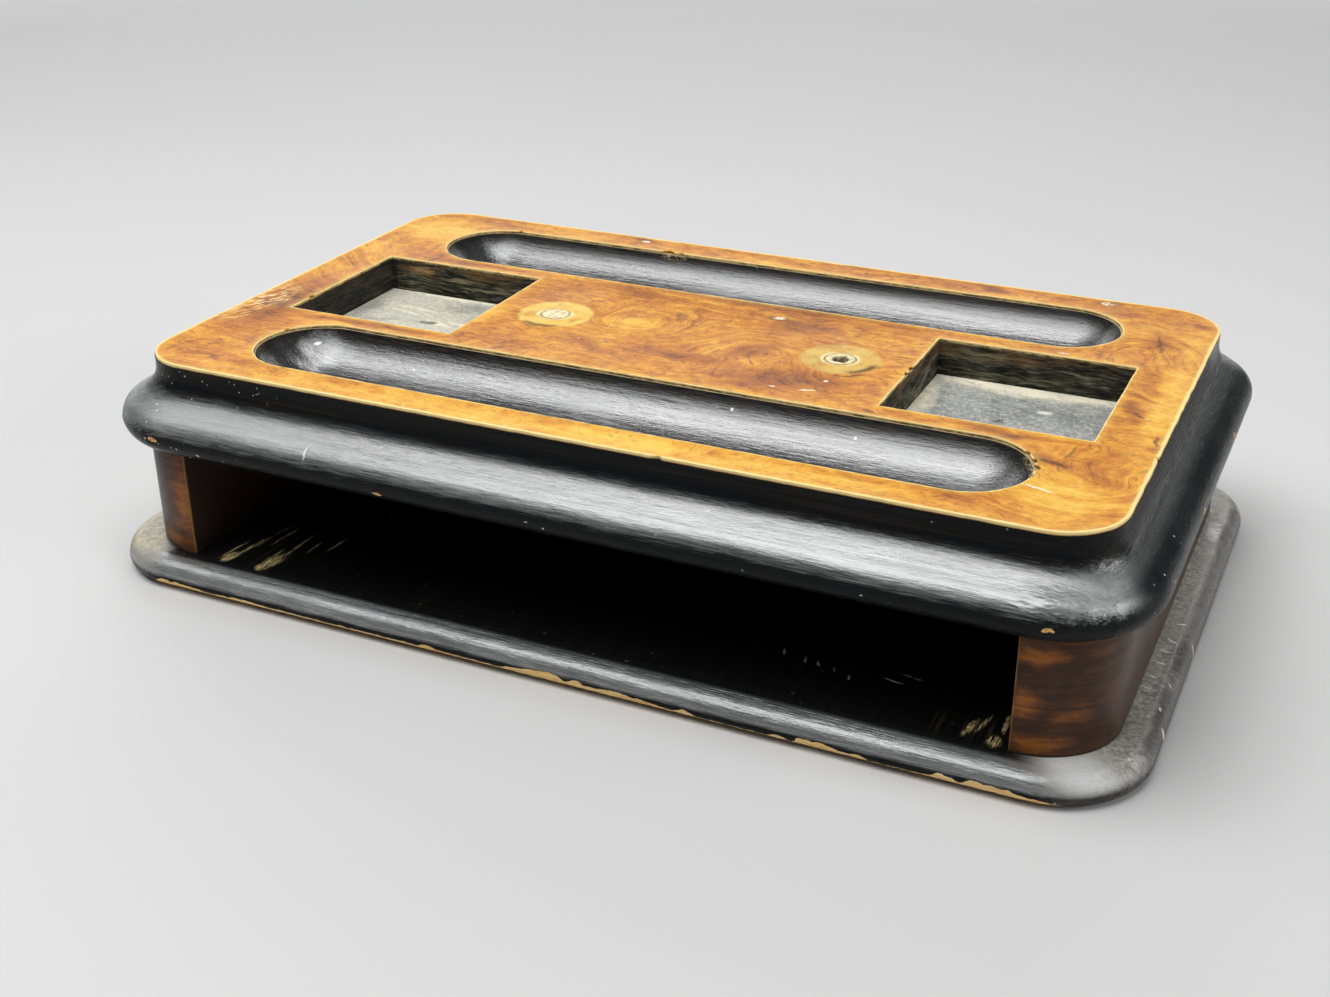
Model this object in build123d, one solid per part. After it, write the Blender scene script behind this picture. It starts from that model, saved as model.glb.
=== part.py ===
from build123d import *
from math import cos, radians, sin
import os

# Desk inkstand in burr walnut and ebonised wood: an open drawer bay between an
# ebonised base and a thick top with an ebonised moulding round its edge. The
# top has two pen troughs and two bottle wells.
#
# Frame, in millimetres: +X to the right seen from the front, +Y to the back,
# +Z up, origin at the centre of the underside.

# ---- Top: the veneered field inside the moulding --------------------------
TOP_LENGTH = 300.0
TOP_DEPTH = 175.0
TOP_CORNER_RADIUS = 18.5
TOP_THICKNESS = 26.25          # veneer and board together
VENEER_THICKNESS = 1.0

# ---- Ebonised moulding round the top --------------------------------------
MOULDING_LAND = 8.0            # part of the moulding that the veneer covers
MOULDING_FILLET = 3.6          # upright face from the top face down to the hollow
MOULDING_SLOPE = 30.0          # degrees below level, between the hollow and the nose
NOSE_REACH = 12.2              # widest point, out from the veneer's edge
NOSE_RADIUS = 6.6

# ---- Pen troughs ----------------------------------------------------------
TROUGH_LENGTH = 244.0
TROUGH_WIDTH = 37.5
TROUGH_DEPTH = 12.0
TROUGH_OFFSET = 56.25          # centre line from the middle of the top

# ---- Bottle wells ---------------------------------------------------------
WELL_LENGTH = 61.0
WELL_WIDTH = 59.5
WELL_DEPTH = 12.0              # down to the floor panel's upper face
WELL_OFFSET = 101.5            # centre from the middle of the top
WELL_FLOOR_THICKNESS = 2.0
WELL_FLOOR_CLEARANCE = 0.15

# ---- Filled holes of the lost carrying handle -----------------------------
HANDLE_SPACING = 98.0
PLUG_DIAMETER = 10.0
PLUG_CLEARANCE = 0.05
STUD_HOLE_DIAMETER = 4.6       # still open in the right-hand plug

# ---- Carcase between the top and the base ---------------------------------
CARCASE_HEIGHT = 35.75
CARCASE_OVERHANG = 4.6         # carcase face, out from the top veneer's edge
SIDE_VENEER_THICKNESS = 0.8
BAY_LENGTH = 260.0             # opening between the two ends
BACK_RAIL_THICKNESS = 12.0
GLUE_BLOCK_LEG = 14.0
GLUE_BLOCK_END_GAP = 2.875     # short of the base and of the top board
STOP_LENGTH = 22.0
STOP_DEPTH = 6.0
STOP_HEIGHT = 5.0
STOP_SPACING = 150.0

# ---- Base -----------------------------------------------------------------
BASE_THICKNESS = 7.25
BASE_OVERHANG = 14.5           # base's widest line, out from the top veneer's edge
BASE_CORNER_RADIUS = 28.0
BASE_NOSE_RADIUS = 5.0
BASE_UNDERCUT = 1.0            # the nose turns back in this far at the bottom

# ---- Wood screws, up through the base into the ends -----------------------
SCREWS_PER_END = 3
SCREW_PITCH = 62.0
SCREW_SHANK_DIAMETER = 3.5
SCREW_HEAD_DIAMETER = 7.0
SCREW_HEAD_HEIGHT = 2.6
SCREW_LENGTH = 25.0
SCREW_POINT_LENGTH = 4.0
SCREW_SLOT_WIDTH = 0.9
SCREW_SLOT_DEPTH = 1.0
SCREW_CLEARANCE = 0.1

# ---- Baize under the base -------------------------------------------------
LINING_THICKNESS = 1.5
LINING_INSET = 4.0             # from the base's flat underside

# ---- Levels ---------------------------------------------------------------
BASE_BOTTOM = LINING_THICKNESS
BASE_TOP = BASE_BOTTOM + BASE_THICKNESS
CARCASE_TOP = BASE_TOP + CARCASE_HEIGHT
TOP_FACE = CARCASE_TOP + TOP_THICKNESS
VENEER_BOTTOM = TOP_FACE - VENEER_THICKNESS

# ---- Plan sizes -----------------------------------------------------------
BOARD_LENGTH = TOP_LENGTH - 2 * MOULDING_LAND
BOARD_DEPTH = TOP_DEPTH - 2 * MOULDING_LAND
CARCASE_LENGTH = TOP_LENGTH + 2 * CARCASE_OVERHANG
CARCASE_DEPTH = TOP_DEPTH + 2 * CARCASE_OVERHANG
CARCASE_RADIUS = TOP_CORNER_RADIUS + CARCASE_OVERHANG
BASE_LENGTH = TOP_LENGTH + 2 * BASE_OVERHANG
BASE_DEPTH = TOP_DEPTH + 2 * BASE_OVERHANG
END_THICKNESS = (CARCASE_LENGTH - BAY_LENGTH) / 2
END_MIDDLE = BAY_LENGTH / 2 + (END_THICKNESS - SIDE_VENEER_THICKNESS) / 2
BACK_RAIL_INNER = CARCASE_DEPTH / 2 - SIDE_VENEER_THICKNESS - BACK_RAIL_THICKNESS

LEFT, RIGHT = -1, 1
FRONT, BACK = -1, 1
UP = (0, 0, 1)
BOTTOM_UP = (Align.CENTER, Align.CENTER, Align.MIN)


# ---- Shared shapes --------------------------------------------------------
def block(low, high):
    """Box from its lowest to its highest corner."""
    size = [b - a for a, b in zip(low, high)]
    corner = (Align.MIN, Align.MIN, Align.MIN)
    return Pos(*low) * Box(*size, align=corner)


def rounded_plate(length, depth, radius, bottom, top):
    """Flat plate with rounded corners, upright edges."""
    outline = RectangleRounded(length, depth, radius)
    return Pos(0, 0, bottom) * extrude(outline, top - bottom)


def moulded_slab(length, depth, radius, section):
    """Slab whose edge has the given section all the way round.

    length, depth and radius belong to the line where the section's x is 0.
    The section lies in the XZ plane, x outwards, and reaches in to x = -radius.
    """
    half_x = length / 2 - radius
    half_y = depth / 2 - radius
    box = section.bounding_box()
    slab = block((-half_x, -half_y, box.min.Z), (half_x, half_y, box.max.Z))
    for side in (LEFT, RIGHT):
        edge = Rot(0, 0, 90 - 90 * side) * Pos(half_x + radius, half_y, 0) * section
        slab += extrude(edge, 2 * half_y, dir=(0, -side, 0))
    for side in (FRONT, BACK):
        edge = Rot(0, 0, 90 * side) * Pos(half_y + radius, half_x, 0) * section
        slab += extrude(edge, 2 * half_x, dir=(side, 0, 0))
    corner = revolve(Pos(radius, 0, 0) * section, Axis.Z, 90)
    for turn, (side_x, side_y) in enumerate(((1, 1), (-1, 1), (-1, -1), (1, -1))):
        slab += Pos(side_x * half_x, side_y * half_y, 0) * Rot(0, 0, 90 * turn) * corner
    return slab


def trough_cutter(side):
    """Round-bottomed groove with domed ends, cut from the top face."""
    half_width = TROUGH_WIDTH / 2
    radius = (half_width**2 + TROUGH_DEPTH**2) / (2 * TROUGH_DEPTH)
    run = TROUGH_LENGTH - TROUGH_WIDTH
    cutter = Rot(0, 90, 0) * Cylinder(radius, run)
    for end in (LEFT, RIGHT):
        cutter += Pos(end * run / 2, 0, 0) * Sphere(radius)
    return Pos(0, side * TROUGH_OFFSET, TOP_FACE - TROUGH_DEPTH + radius) * cutter


def well_cutter(side, bottom):
    """Square-cornered pocket from the given level up through the top face."""
    shape = Box(WELL_LENGTH, WELL_WIDTH, TOP_FACE - bottom, align=BOTTOM_UP)
    return Pos(side * WELL_OFFSET, 0, bottom) * shape


def plug_cutter(side):
    """Bored hole right through the top, for the handle's plug."""
    radius = PLUG_DIAMETER / 2 + PLUG_CLEARANCE
    shape = Cylinder(radius, TOP_THICKNESS, align=BOTTOM_UP)
    return Pos(side * HANDLE_SPACING / 2, 0, CARCASE_TOP) * shape


def cut_top(shape, well_bottom):
    """Take the troughs, wells and handle holes out of a layer of the top."""
    for side in (FRONT, BACK):
        shape -= trough_cutter(side)
    for side in (LEFT, RIGHT):
        shape -= well_cutter(side, well_bottom)
        shape -= plug_cutter(side)
    return shape


# ---- Top ------------------------------------------------------------------
def top_veneer():
    sheet = rounded_plate(TOP_LENGTH, TOP_DEPTH, TOP_CORNER_RADIUS, VENEER_BOTTOM, TOP_FACE)
    return cut_top(sheet, VENEER_BOTTOM)


def top_board():
    board = block(
        (-BOARD_LENGTH / 2, -BOARD_DEPTH / 2, CARCASE_TOP),
        (BOARD_LENGTH / 2, BOARD_DEPTH / 2, VENEER_BOTTOM),
    )
    return cut_top(board, TOP_FACE - WELL_DEPTH - WELL_FLOOR_THICKNESS)


def well_floor(side):
    bottom = TOP_FACE - WELL_DEPTH - WELL_FLOOR_THICKNESS
    length = WELL_LENGTH - 2 * WELL_FLOOR_CLEARANCE
    width = WELL_WIDTH - 2 * WELL_FLOOR_CLEARANCE
    panel = Box(length, width, WELL_FLOOR_THICKNESS, align=BOTTOM_UP)
    return Pos(side * WELL_OFFSET, 0, bottom) * panel


def handle_plug(side, bored):
    plug = Cylinder(PLUG_DIAMETER / 2, TOP_THICKNESS, align=BOTTOM_UP)
    if bored:
        plug -= Cylinder(STUD_HOLE_DIAMETER / 2, TOP_THICKNESS, align=BOTTOM_UP)
    return Pos(side * HANDLE_SPACING / 2, 0, CARCASE_TOP) * plug


def moulding_section():
    """Fillet, hollow, slope and round nose, in the XZ plane, x = 0 at the veneer's edge."""
    down, out = sin(radians(MOULDING_SLOPE)), cos(radians(MOULDING_SLOPE))
    inner = -TOP_CORNER_RADIUS
    fillet_end = (0, TOP_FACE - MOULDING_FILLET)
    nose_bottom = (NOSE_REACH - NOSE_RADIUS, CARCASE_TOP)
    nose_start = (
        nose_bottom[0] + NOSE_RADIUS * down,
        nose_bottom[1] + NOSE_RADIUS * (1 + out),
    )
    # The hollow's radius, for which its end and the nose's start lie on one slope.
    drop = fillet_end[1] - nose_start[1]
    hollow_radius = (drop * out - nose_start[0] * down) / (1 - down)
    hollow_end = (hollow_radius * (1 - down), fillet_end[1] - hollow_radius * out)
    with BuildSketch(Plane.XZ) as section:
        with BuildLine():
            Polyline((inner, CARCASE_TOP), (inner, VENEER_BOTTOM), (0, VENEER_BOTTOM), fillet_end)
            TangentArc(fillet_end, hollow_end, tangent=(0, -1))
            Line(hollow_end, nose_start)
            TangentArc(nose_start, nose_bottom, tangent=(out, -down))
            Line(nose_bottom, (inner, CARCASE_TOP))
        make_face()
    return section.sketch


def moulding_ring():
    slab = moulded_slab(TOP_LENGTH, TOP_DEPTH, TOP_CORNER_RADIUS, moulding_section())
    return slab - block(
        (-BOARD_LENGTH / 2, -BOARD_DEPTH / 2, CARCASE_TOP),
        (BOARD_LENGTH / 2, BOARD_DEPTH / 2, VENEER_BOTTOM),
    )


def mitre_wedge(along_x, side):
    """Upright prism that holds one side of a mitred frame round the top."""
    reach = 2 * NOSE_REACH
    long_half = (TOP_LENGTH if along_x else TOP_DEPTH) / 2
    short_half = (TOP_DEPTH if along_x else TOP_LENGTH) / 2
    outer, inner = long_half + reach, long_half - TOP_DEPTH / 4
    far, near = short_half + reach, short_half - TOP_DEPTH / 4
    corners = [(-outer, far), (outer, far), (inner, near), (-inner, near)]
    turn = (90 - 90 * side) if along_x else -90 * side
    prism = extrude(Polygon(*corners, align=None), TOP_THICKNESS, dir=UP)
    return Pos(0, 0, CARCASE_TOP) * Rot(0, 0, turn) * prism


# ---- Carcase --------------------------------------------------------------
def carcase_skin():
    """The side veneer as a closed band, before it is cut up."""
    outer = rounded_plate(CARCASE_LENGTH, CARCASE_DEPTH, CARCASE_RADIUS, BASE_TOP, CARCASE_TOP)
    return outer - carcase_core()


def carcase_core():
    """Everything inside the side veneer."""
    return rounded_plate(
        CARCASE_LENGTH - 2 * SIDE_VENEER_THICKNESS,
        CARCASE_DEPTH - 2 * SIDE_VENEER_THICKNESS,
        CARCASE_RADIUS - SIDE_VENEER_THICKNESS,
        BASE_TOP,
        CARCASE_TOP,
    )


def end_zone(side):
    """The part of the carcase from one side of the bay outwards."""
    edges = sorted((side * BAY_LENGTH / 2, side * CARCASE_LENGTH))
    return block(
        (edges[0], -CARCASE_DEPTH, BASE_TOP),
        (edges[1], CARCASE_DEPTH, CARCASE_TOP),
    )


def end_core(side):
    core = carcase_core() & end_zone(side)
    for place in screw_places(side):
        core -= place * screw_shape(SCREW_CLEARANCE)
    return core


def end_veneer(side):
    return carcase_skin() & end_zone(side)


def back_rail():
    return block(
        (-BAY_LENGTH / 2, BACK_RAIL_INNER, BASE_TOP),
        (BAY_LENGTH / 2, BACK_RAIL_INNER + BACK_RAIL_THICKNESS, CARCASE_TOP),
    )


def back_veneer():
    return block(
        (-BAY_LENGTH / 2, CARCASE_DEPTH / 2 - SIDE_VENEER_THICKNESS, BASE_TOP),
        (BAY_LENGTH / 2, CARCASE_DEPTH / 2, CARCASE_TOP),
    )


def glue_blocks():
    """Three-cornered blocks in the two back corners of the bay."""
    blocks = []
    for side in (LEFT, RIGHT):
        corner = (side * BAY_LENGTH / 2, BACK_RAIL_INNER)
        outline = Polygon(
            corner,
            (corner[0] - side * GLUE_BLOCK_LEG, corner[1]),
            (corner[0], corner[1] - GLUE_BLOCK_LEG),
            align=None,
        )
        prism = extrude(outline, CARCASE_HEIGHT - 2 * GLUE_BLOCK_END_GAP, dir=UP)
        blocks.append(Pos(0, 0, BASE_TOP + GLUE_BLOCK_END_GAP) * prism)
    return Compound(children=blocks)


def drawer_stops():
    """Small blocks on the base that a drawer would close against."""
    blocks = []
    for side in (LEFT, RIGHT):
        shape = Box(STOP_LENGTH, STOP_DEPTH, STOP_HEIGHT, align=BOTTOM_UP)
        middle = BACK_RAIL_INNER - STOP_DEPTH / 2
        blocks.append(Pos(side * STOP_SPACING / 2, middle, BASE_TOP) * shape)
    return Compound(children=blocks)


# ---- Base -----------------------------------------------------------------
def base_section():
    """Flat top and round nose, in the XZ plane, x = 0 at the widest line."""
    inner = -BASE_CORNER_RADIUS
    nose_start = (-BASE_NOSE_RADIUS, BASE_TOP)
    nose = (0, BASE_TOP - BASE_NOSE_RADIUS)
    nose_end = (-BASE_UNDERCUT, BASE_BOTTOM)
    with BuildSketch(Plane.XZ) as section:
        with BuildLine():
            Polyline(nose_end, (inner, BASE_BOTTOM), (inner, BASE_TOP), nose_start)
            TangentArc(nose_start, nose, tangent=(1, 0))
            TangentArc(nose, nose_end, tangent=(0, -1))
        make_face()
    return section.sketch


def base_board():
    board = moulded_slab(BASE_LENGTH, BASE_DEPTH, BASE_CORNER_RADIUS, base_section())
    for side in (LEFT, RIGHT):
        for place in screw_places(side):
            board -= place * screw_shape(SCREW_CLEARANCE)
    return board


def base_lining():
    inset = 2 * (BASE_UNDERCUT + LINING_INSET)
    radius = BASE_CORNER_RADIUS - BASE_UNDERCUT - LINING_INSET
    return rounded_plate(BASE_LENGTH - inset, BASE_DEPTH - inset, radius, 0, LINING_THICKNESS)


# ---- Screws ---------------------------------------------------------------
def screw_places(side):
    """Head end of each screw of one end, on the base's underside."""
    first = -SCREW_PITCH * (SCREWS_PER_END - 1) / 2
    return [
        Pos(side * END_MIDDLE, first + index * SCREW_PITCH, BASE_BOTTOM)
        for index in range(SCREWS_PER_END)
    ]


def screw_shape(clearance=0.0):
    """Countersunk wood screw, point upwards, or the hole that it needs."""
    head = SCREW_HEAD_DIAMETER / 2 + clearance
    shank = SCREW_SHANK_DIAMETER / 2 + clearance
    length = SCREW_LENGTH + clearance
    outline = [
        (0, 0),
        (head, 0),
        (shank, SCREW_HEAD_HEIGHT),
        (shank, length - SCREW_POINT_LENGTH),
        (0, length),
    ]
    face = Plane.XZ * Polygon(*outline, align=None)
    return revolve(face, Axis.Z, 360)


def base_screws():
    slot = Box(SCREW_HEAD_DIAMETER, SCREW_SLOT_WIDTH, SCREW_SLOT_DEPTH, align=BOTTOM_UP)
    screw = screw_shape() - slot
    screws = [place * screw for side in (LEFT, RIGHT) for place in screw_places(side)]
    return Compound(children=screws)


# ---- Assembly -------------------------------------------------------------
def build_parts():
    ring = moulding_ring()
    return {
        "top_veneer": top_veneer(),
        "top_board": top_board(),
        "top_moulding_front": ring & mitre_wedge(True, FRONT),
        "top_moulding_back": ring & mitre_wedge(True, BACK),
        "top_moulding_left": ring & mitre_wedge(False, LEFT),
        "top_moulding_right": ring & mitre_wedge(False, RIGHT),
        "left_well_floor": well_floor(LEFT),
        "right_well_floor": well_floor(RIGHT),
        "left_handle_plug": handle_plug(LEFT, bored=False),
        "right_handle_plug": handle_plug(RIGHT, bored=True),
        "left_end": end_core(LEFT),
        "right_end": end_core(RIGHT),
        "left_end_veneer": end_veneer(LEFT),
        "right_end_veneer": end_veneer(RIGHT),
        "back_rail": back_rail(),
        "back_veneer": back_veneer(),
        "glue_blocks": glue_blocks(),
        "drawer_stops": drawer_stops(),
        "base_board": base_board(),
        "base_screws": base_screws(),
        "base_lining": base_lining(),
    }


def main():
    os.makedirs("parts", exist_ok=True)
    for name, shape in build_parts().items():
        export_step(shape, f"parts/{name}.step")


main()
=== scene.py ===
from math import cos, pi, radians, sin

import bmesh
import bpy
from bpy.props import FloatProperty, FloatVectorProperty, IntProperty, PointerProperty
from mathutils import Matrix, Vector, noise


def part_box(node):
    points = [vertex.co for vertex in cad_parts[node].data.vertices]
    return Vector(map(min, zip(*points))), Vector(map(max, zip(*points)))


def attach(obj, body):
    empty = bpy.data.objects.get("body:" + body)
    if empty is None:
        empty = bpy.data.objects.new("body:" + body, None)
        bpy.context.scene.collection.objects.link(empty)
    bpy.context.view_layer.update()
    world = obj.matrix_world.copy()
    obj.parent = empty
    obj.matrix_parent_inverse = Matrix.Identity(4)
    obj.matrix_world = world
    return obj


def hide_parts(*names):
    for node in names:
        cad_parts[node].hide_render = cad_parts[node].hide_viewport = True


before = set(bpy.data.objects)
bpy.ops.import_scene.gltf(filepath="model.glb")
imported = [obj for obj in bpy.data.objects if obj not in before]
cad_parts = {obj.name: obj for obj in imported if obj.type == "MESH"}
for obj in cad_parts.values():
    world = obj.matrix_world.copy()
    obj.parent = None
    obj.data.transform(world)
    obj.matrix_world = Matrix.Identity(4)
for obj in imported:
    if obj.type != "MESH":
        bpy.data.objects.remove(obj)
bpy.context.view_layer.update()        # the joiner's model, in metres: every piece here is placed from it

bl_info = {
    "name": "Desk inkstand",
    "version": (1, 0, 0),
    "blender": (4, 5, 0),
    "location": "3D View > Sidebar > Inkstand",
    "description": "Worn walnut and ebonised finish for a desk inkstand",
    "category": "Object",
}

MM = 0.001

# ---- Levels and plan sizes, read from the frame, in metres ------------------
FIELD_LOW, FIELD_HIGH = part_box("top_veneer")
BOARD_LOW, BOARD_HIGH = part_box("top_board")
SIDE_MOULDING_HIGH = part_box("top_moulding_right")[1]
BASE_LOW, BASE_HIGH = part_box("base_board")
WELL_FLOOR_LOW, WELL_FLOOR_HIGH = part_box("right_well_floor")
PLUG_LOW, PLUG_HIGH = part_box("right_handle_plug")
LINING_LOW, LINING_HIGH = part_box("base_lining")
END_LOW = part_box("right_end_veneer")[0]

TOP_FACE = FIELD_HIGH.z
VENEER_BOTTOM = FIELD_LOW.z
TOP_BOTTOM = BOARD_LOW.z
BASE_TOP = BASE_HIGH.z
BASE_BOTTOM = BASE_LOW.z
HALF_LENGTH = FIELD_HIGH.x
HALF_DEPTH = FIELD_HIGH.y
NOSE_REACH = SIDE_MOULDING_HIGH.x - HALF_LENGTH
LAND = HALF_LENGTH - BOARD_HIGH.x
PLUG_OFFSET = (PLUG_LOW.x + PLUG_HIGH.x) / 2
PLUG_RADIUS = (PLUG_HIGH.x - PLUG_LOW.x) / 2
WELL_OFFSET = (WELL_FLOOR_LOW.x + WELL_FLOOR_HIGH.x) / 2
BAY_HALF = END_LOW.x

# ---- Sizes that the frame's boxes don't give, in metres ----------------------
FIELD_RADIUS = 18.5 * MM
FILLET_HEIGHT = 3.6 * MM
SLOPE = radians(30)
NOSE_RADIUS = 6.6 * MM
TROUGH_LENGTH = 244 * MM
TROUGH_WIDTH = 37.5 * MM
TROUGH_OFFSET = 56.25 * MM
WELL_LENGTH = 61 * MM
WELL_WIDTH = 59.5 * MM
PLUG_HOLE_RADIUS = 5.05 * MM
STUD_HOLE_RADIUS = 2.3 * MM
BASE_RADIUS = 28 * MM
BASE_NOSE_RADIUS = 5 * MM
BASE_UNDERCUT = 1 * MM
LINING_RADIUS = 23 * MM

# ---- Camera, fitted to the outlines of the wells, troughs and mouldings -----
EYE = Vector((0.204376, -0.453753, 0.256087))
EYE_AZIMUTH = radians(25.296)
EYE_ELEVATION = radians(25.952)
EYE_ROLL = radians(-0.367)
LENS = 45.56
SENSOR = 36.0

UP = Vector((0, 0, 1))
X_AXIS = (1, 0, 0)
Z_AXIS = (0, 0, 1)
STILL = (0, 0, 0)

MERGE = 0.004 * MM          # points nearer than this are one
AREA_SLACK = 25 * MM * MM   # a fill may be out by this much
FILL_TURNS = (0.3, 0.8, 1.2)   # radians
LINING_GAP = 0.02 * MM
PLUG_PROUD = 0.12 * MM
BASE_FLAT = 14 * MM         # width of the base's rim that is made with its nose


def display(red, green, blue):
    """Linear colour, with alpha, of a colour as a screen shows it, each from 0 to 1."""
    return tuple(c / 12.92 if c <= 0.04045 else ((c + 0.055) / 1.055) ** 2.4 for c in (red, green,
                                                                                       blue)) + (1.0,)


def colour_property(name, description, shown):
    return FloatVectorProperty(
        name=name, description=description, subtype="COLOR", size=4, min=0, max=1, default=display(*shown)
    )


def length_property(name, description, value):
    return FloatProperty(name=name, description=description, default=value, min=0, unit="LENGTH", precision=5)


# ---- Settings ---------------------------------------------------------------
class InkstandSizes(bpy.types.PropertyGroup):
    """Sizes of the wear and of the meshes that carry it."""

    arris_round: length_property("Arris round", "How far the veneer's worn edges are rounded", 0.45 * MM)
    outline_step: length_property("Outline step", "Spacing of points along the veneer's edges", 1.3 * MM)
    outline_wander: length_property("Outline wander", "How far the veneer's edges stray", 0.16 * MM)
    moulding_step: length_property("Moulding step", "Spacing of sections along a moulding", 1.3 * MM)
    moulding_wave: length_property("Moulding wave", "Unevenness of the hand-planed mouldings", 0.14 * MM)
    base_step: length_property("Base step", "Spacing of sections along the base's front", 0.9 * MM)
    arris_loss: length_property("Arris loss", "Wood worn off the base's lower front arris", 0.35 * MM)
    edge_ease: length_property("Edge ease", "Rounding of the carcase's edges", 0.3 * MM)
    baize_fray: length_property("Baize fray", "How far the baize's cut edge strays", 0.7 * MM)
    corner_steps: IntProperty(name="Corner steps", description="Sections round a quarter turn", default=28,
                              min=4)


class InkstandColours(bpy.types.PropertyGroup):
    """Colours of the woods and finishes, as they look under plain light."""

    burr_pale: colour_property("Burr, pale", "Palest figure of the burr walnut", (0.91, 0.74, 0.30))
    burr_gold: colour_property("Burr, gold", "Main colour of the burr walnut", (0.85, 0.60, 0.17))
    burr_orange: colour_property("Burr, orange", "Warmer figure of the burr walnut", (0.74, 0.45, 0.11))
    burr_brown: colour_property("Burr, brown", "Brown figure of the burr walnut", (0.56, 0.31, 0.08))
    burr_dark: colour_property("Burr, dark", "Streaks and veins of the burr walnut", (0.25, 0.14, 0.05))
    worn_wood: colour_property("Worn wood", "Veneer edges rubbed to bare wood", (0.96, 0.86, 0.60))
    ebony: colour_property("Ebony", "Black stain and polish", (0.075, 0.078, 0.085))
    # Used for dust, and also as a painted sheen on the black polish.
    ebony_dust_and_sheen: colour_property("Ebony, dusty", "Black polish under a film of dust", (0.60, 0.61, 0.61))
    base_dust: colour_property("Base dust", "Thick grey dust on the base's ends", (0.72, 0.71, 0.66))
    bare_pine: colour_property("Bare pine", "Wood where the black has worn off", (0.97, 0.80, 0.52))
    walnut: colour_property("Walnut", "Straight walnut of the sides", (0.26, 0.16, 0.09))
    walnut_warm: colour_property("Walnut, warm", "Brighter figure of the sides", (0.60, 0.36, 0.13))
    walnut_dark: colour_property("Walnut, dark", "Dark streaks of the sides", (0.15, 0.09, 0.06))
    stain: colour_property("Stain", "Unpolished stained wood", (0.17, 0.10, 0.06))
    well_stain: colour_property("Well stain", "Stained walls of the wells", (0.21, 0.21, 0.18))
    well_floor: colour_property("Well floor", "Greyed floor panels", (0.64, 0.65, 0.635))
    # Also painted as a pool of light on the left well's floor.
    well_dust_and_light: colour_property("Well dust", "Dust on the floor panels", (0.98, 0.95, 0.84))
    deal: colour_property("Deal", "Bare softwood of the blocks", (0.76, 0.60, 0.40))
    plug: colour_property("Plug", "Pale wood of the handle plugs", (0.93, 0.87, 0.69))
    steel: colour_property("Steel", "Screws", (0.52, 0.50, 0.47))
    baize: colour_property("Baize", "Cloth under the base", (0.10, 0.13, 0.12))
    floor: colour_property("Floor", "Studio floor", (0.83, 0.83, 0.83))


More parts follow.
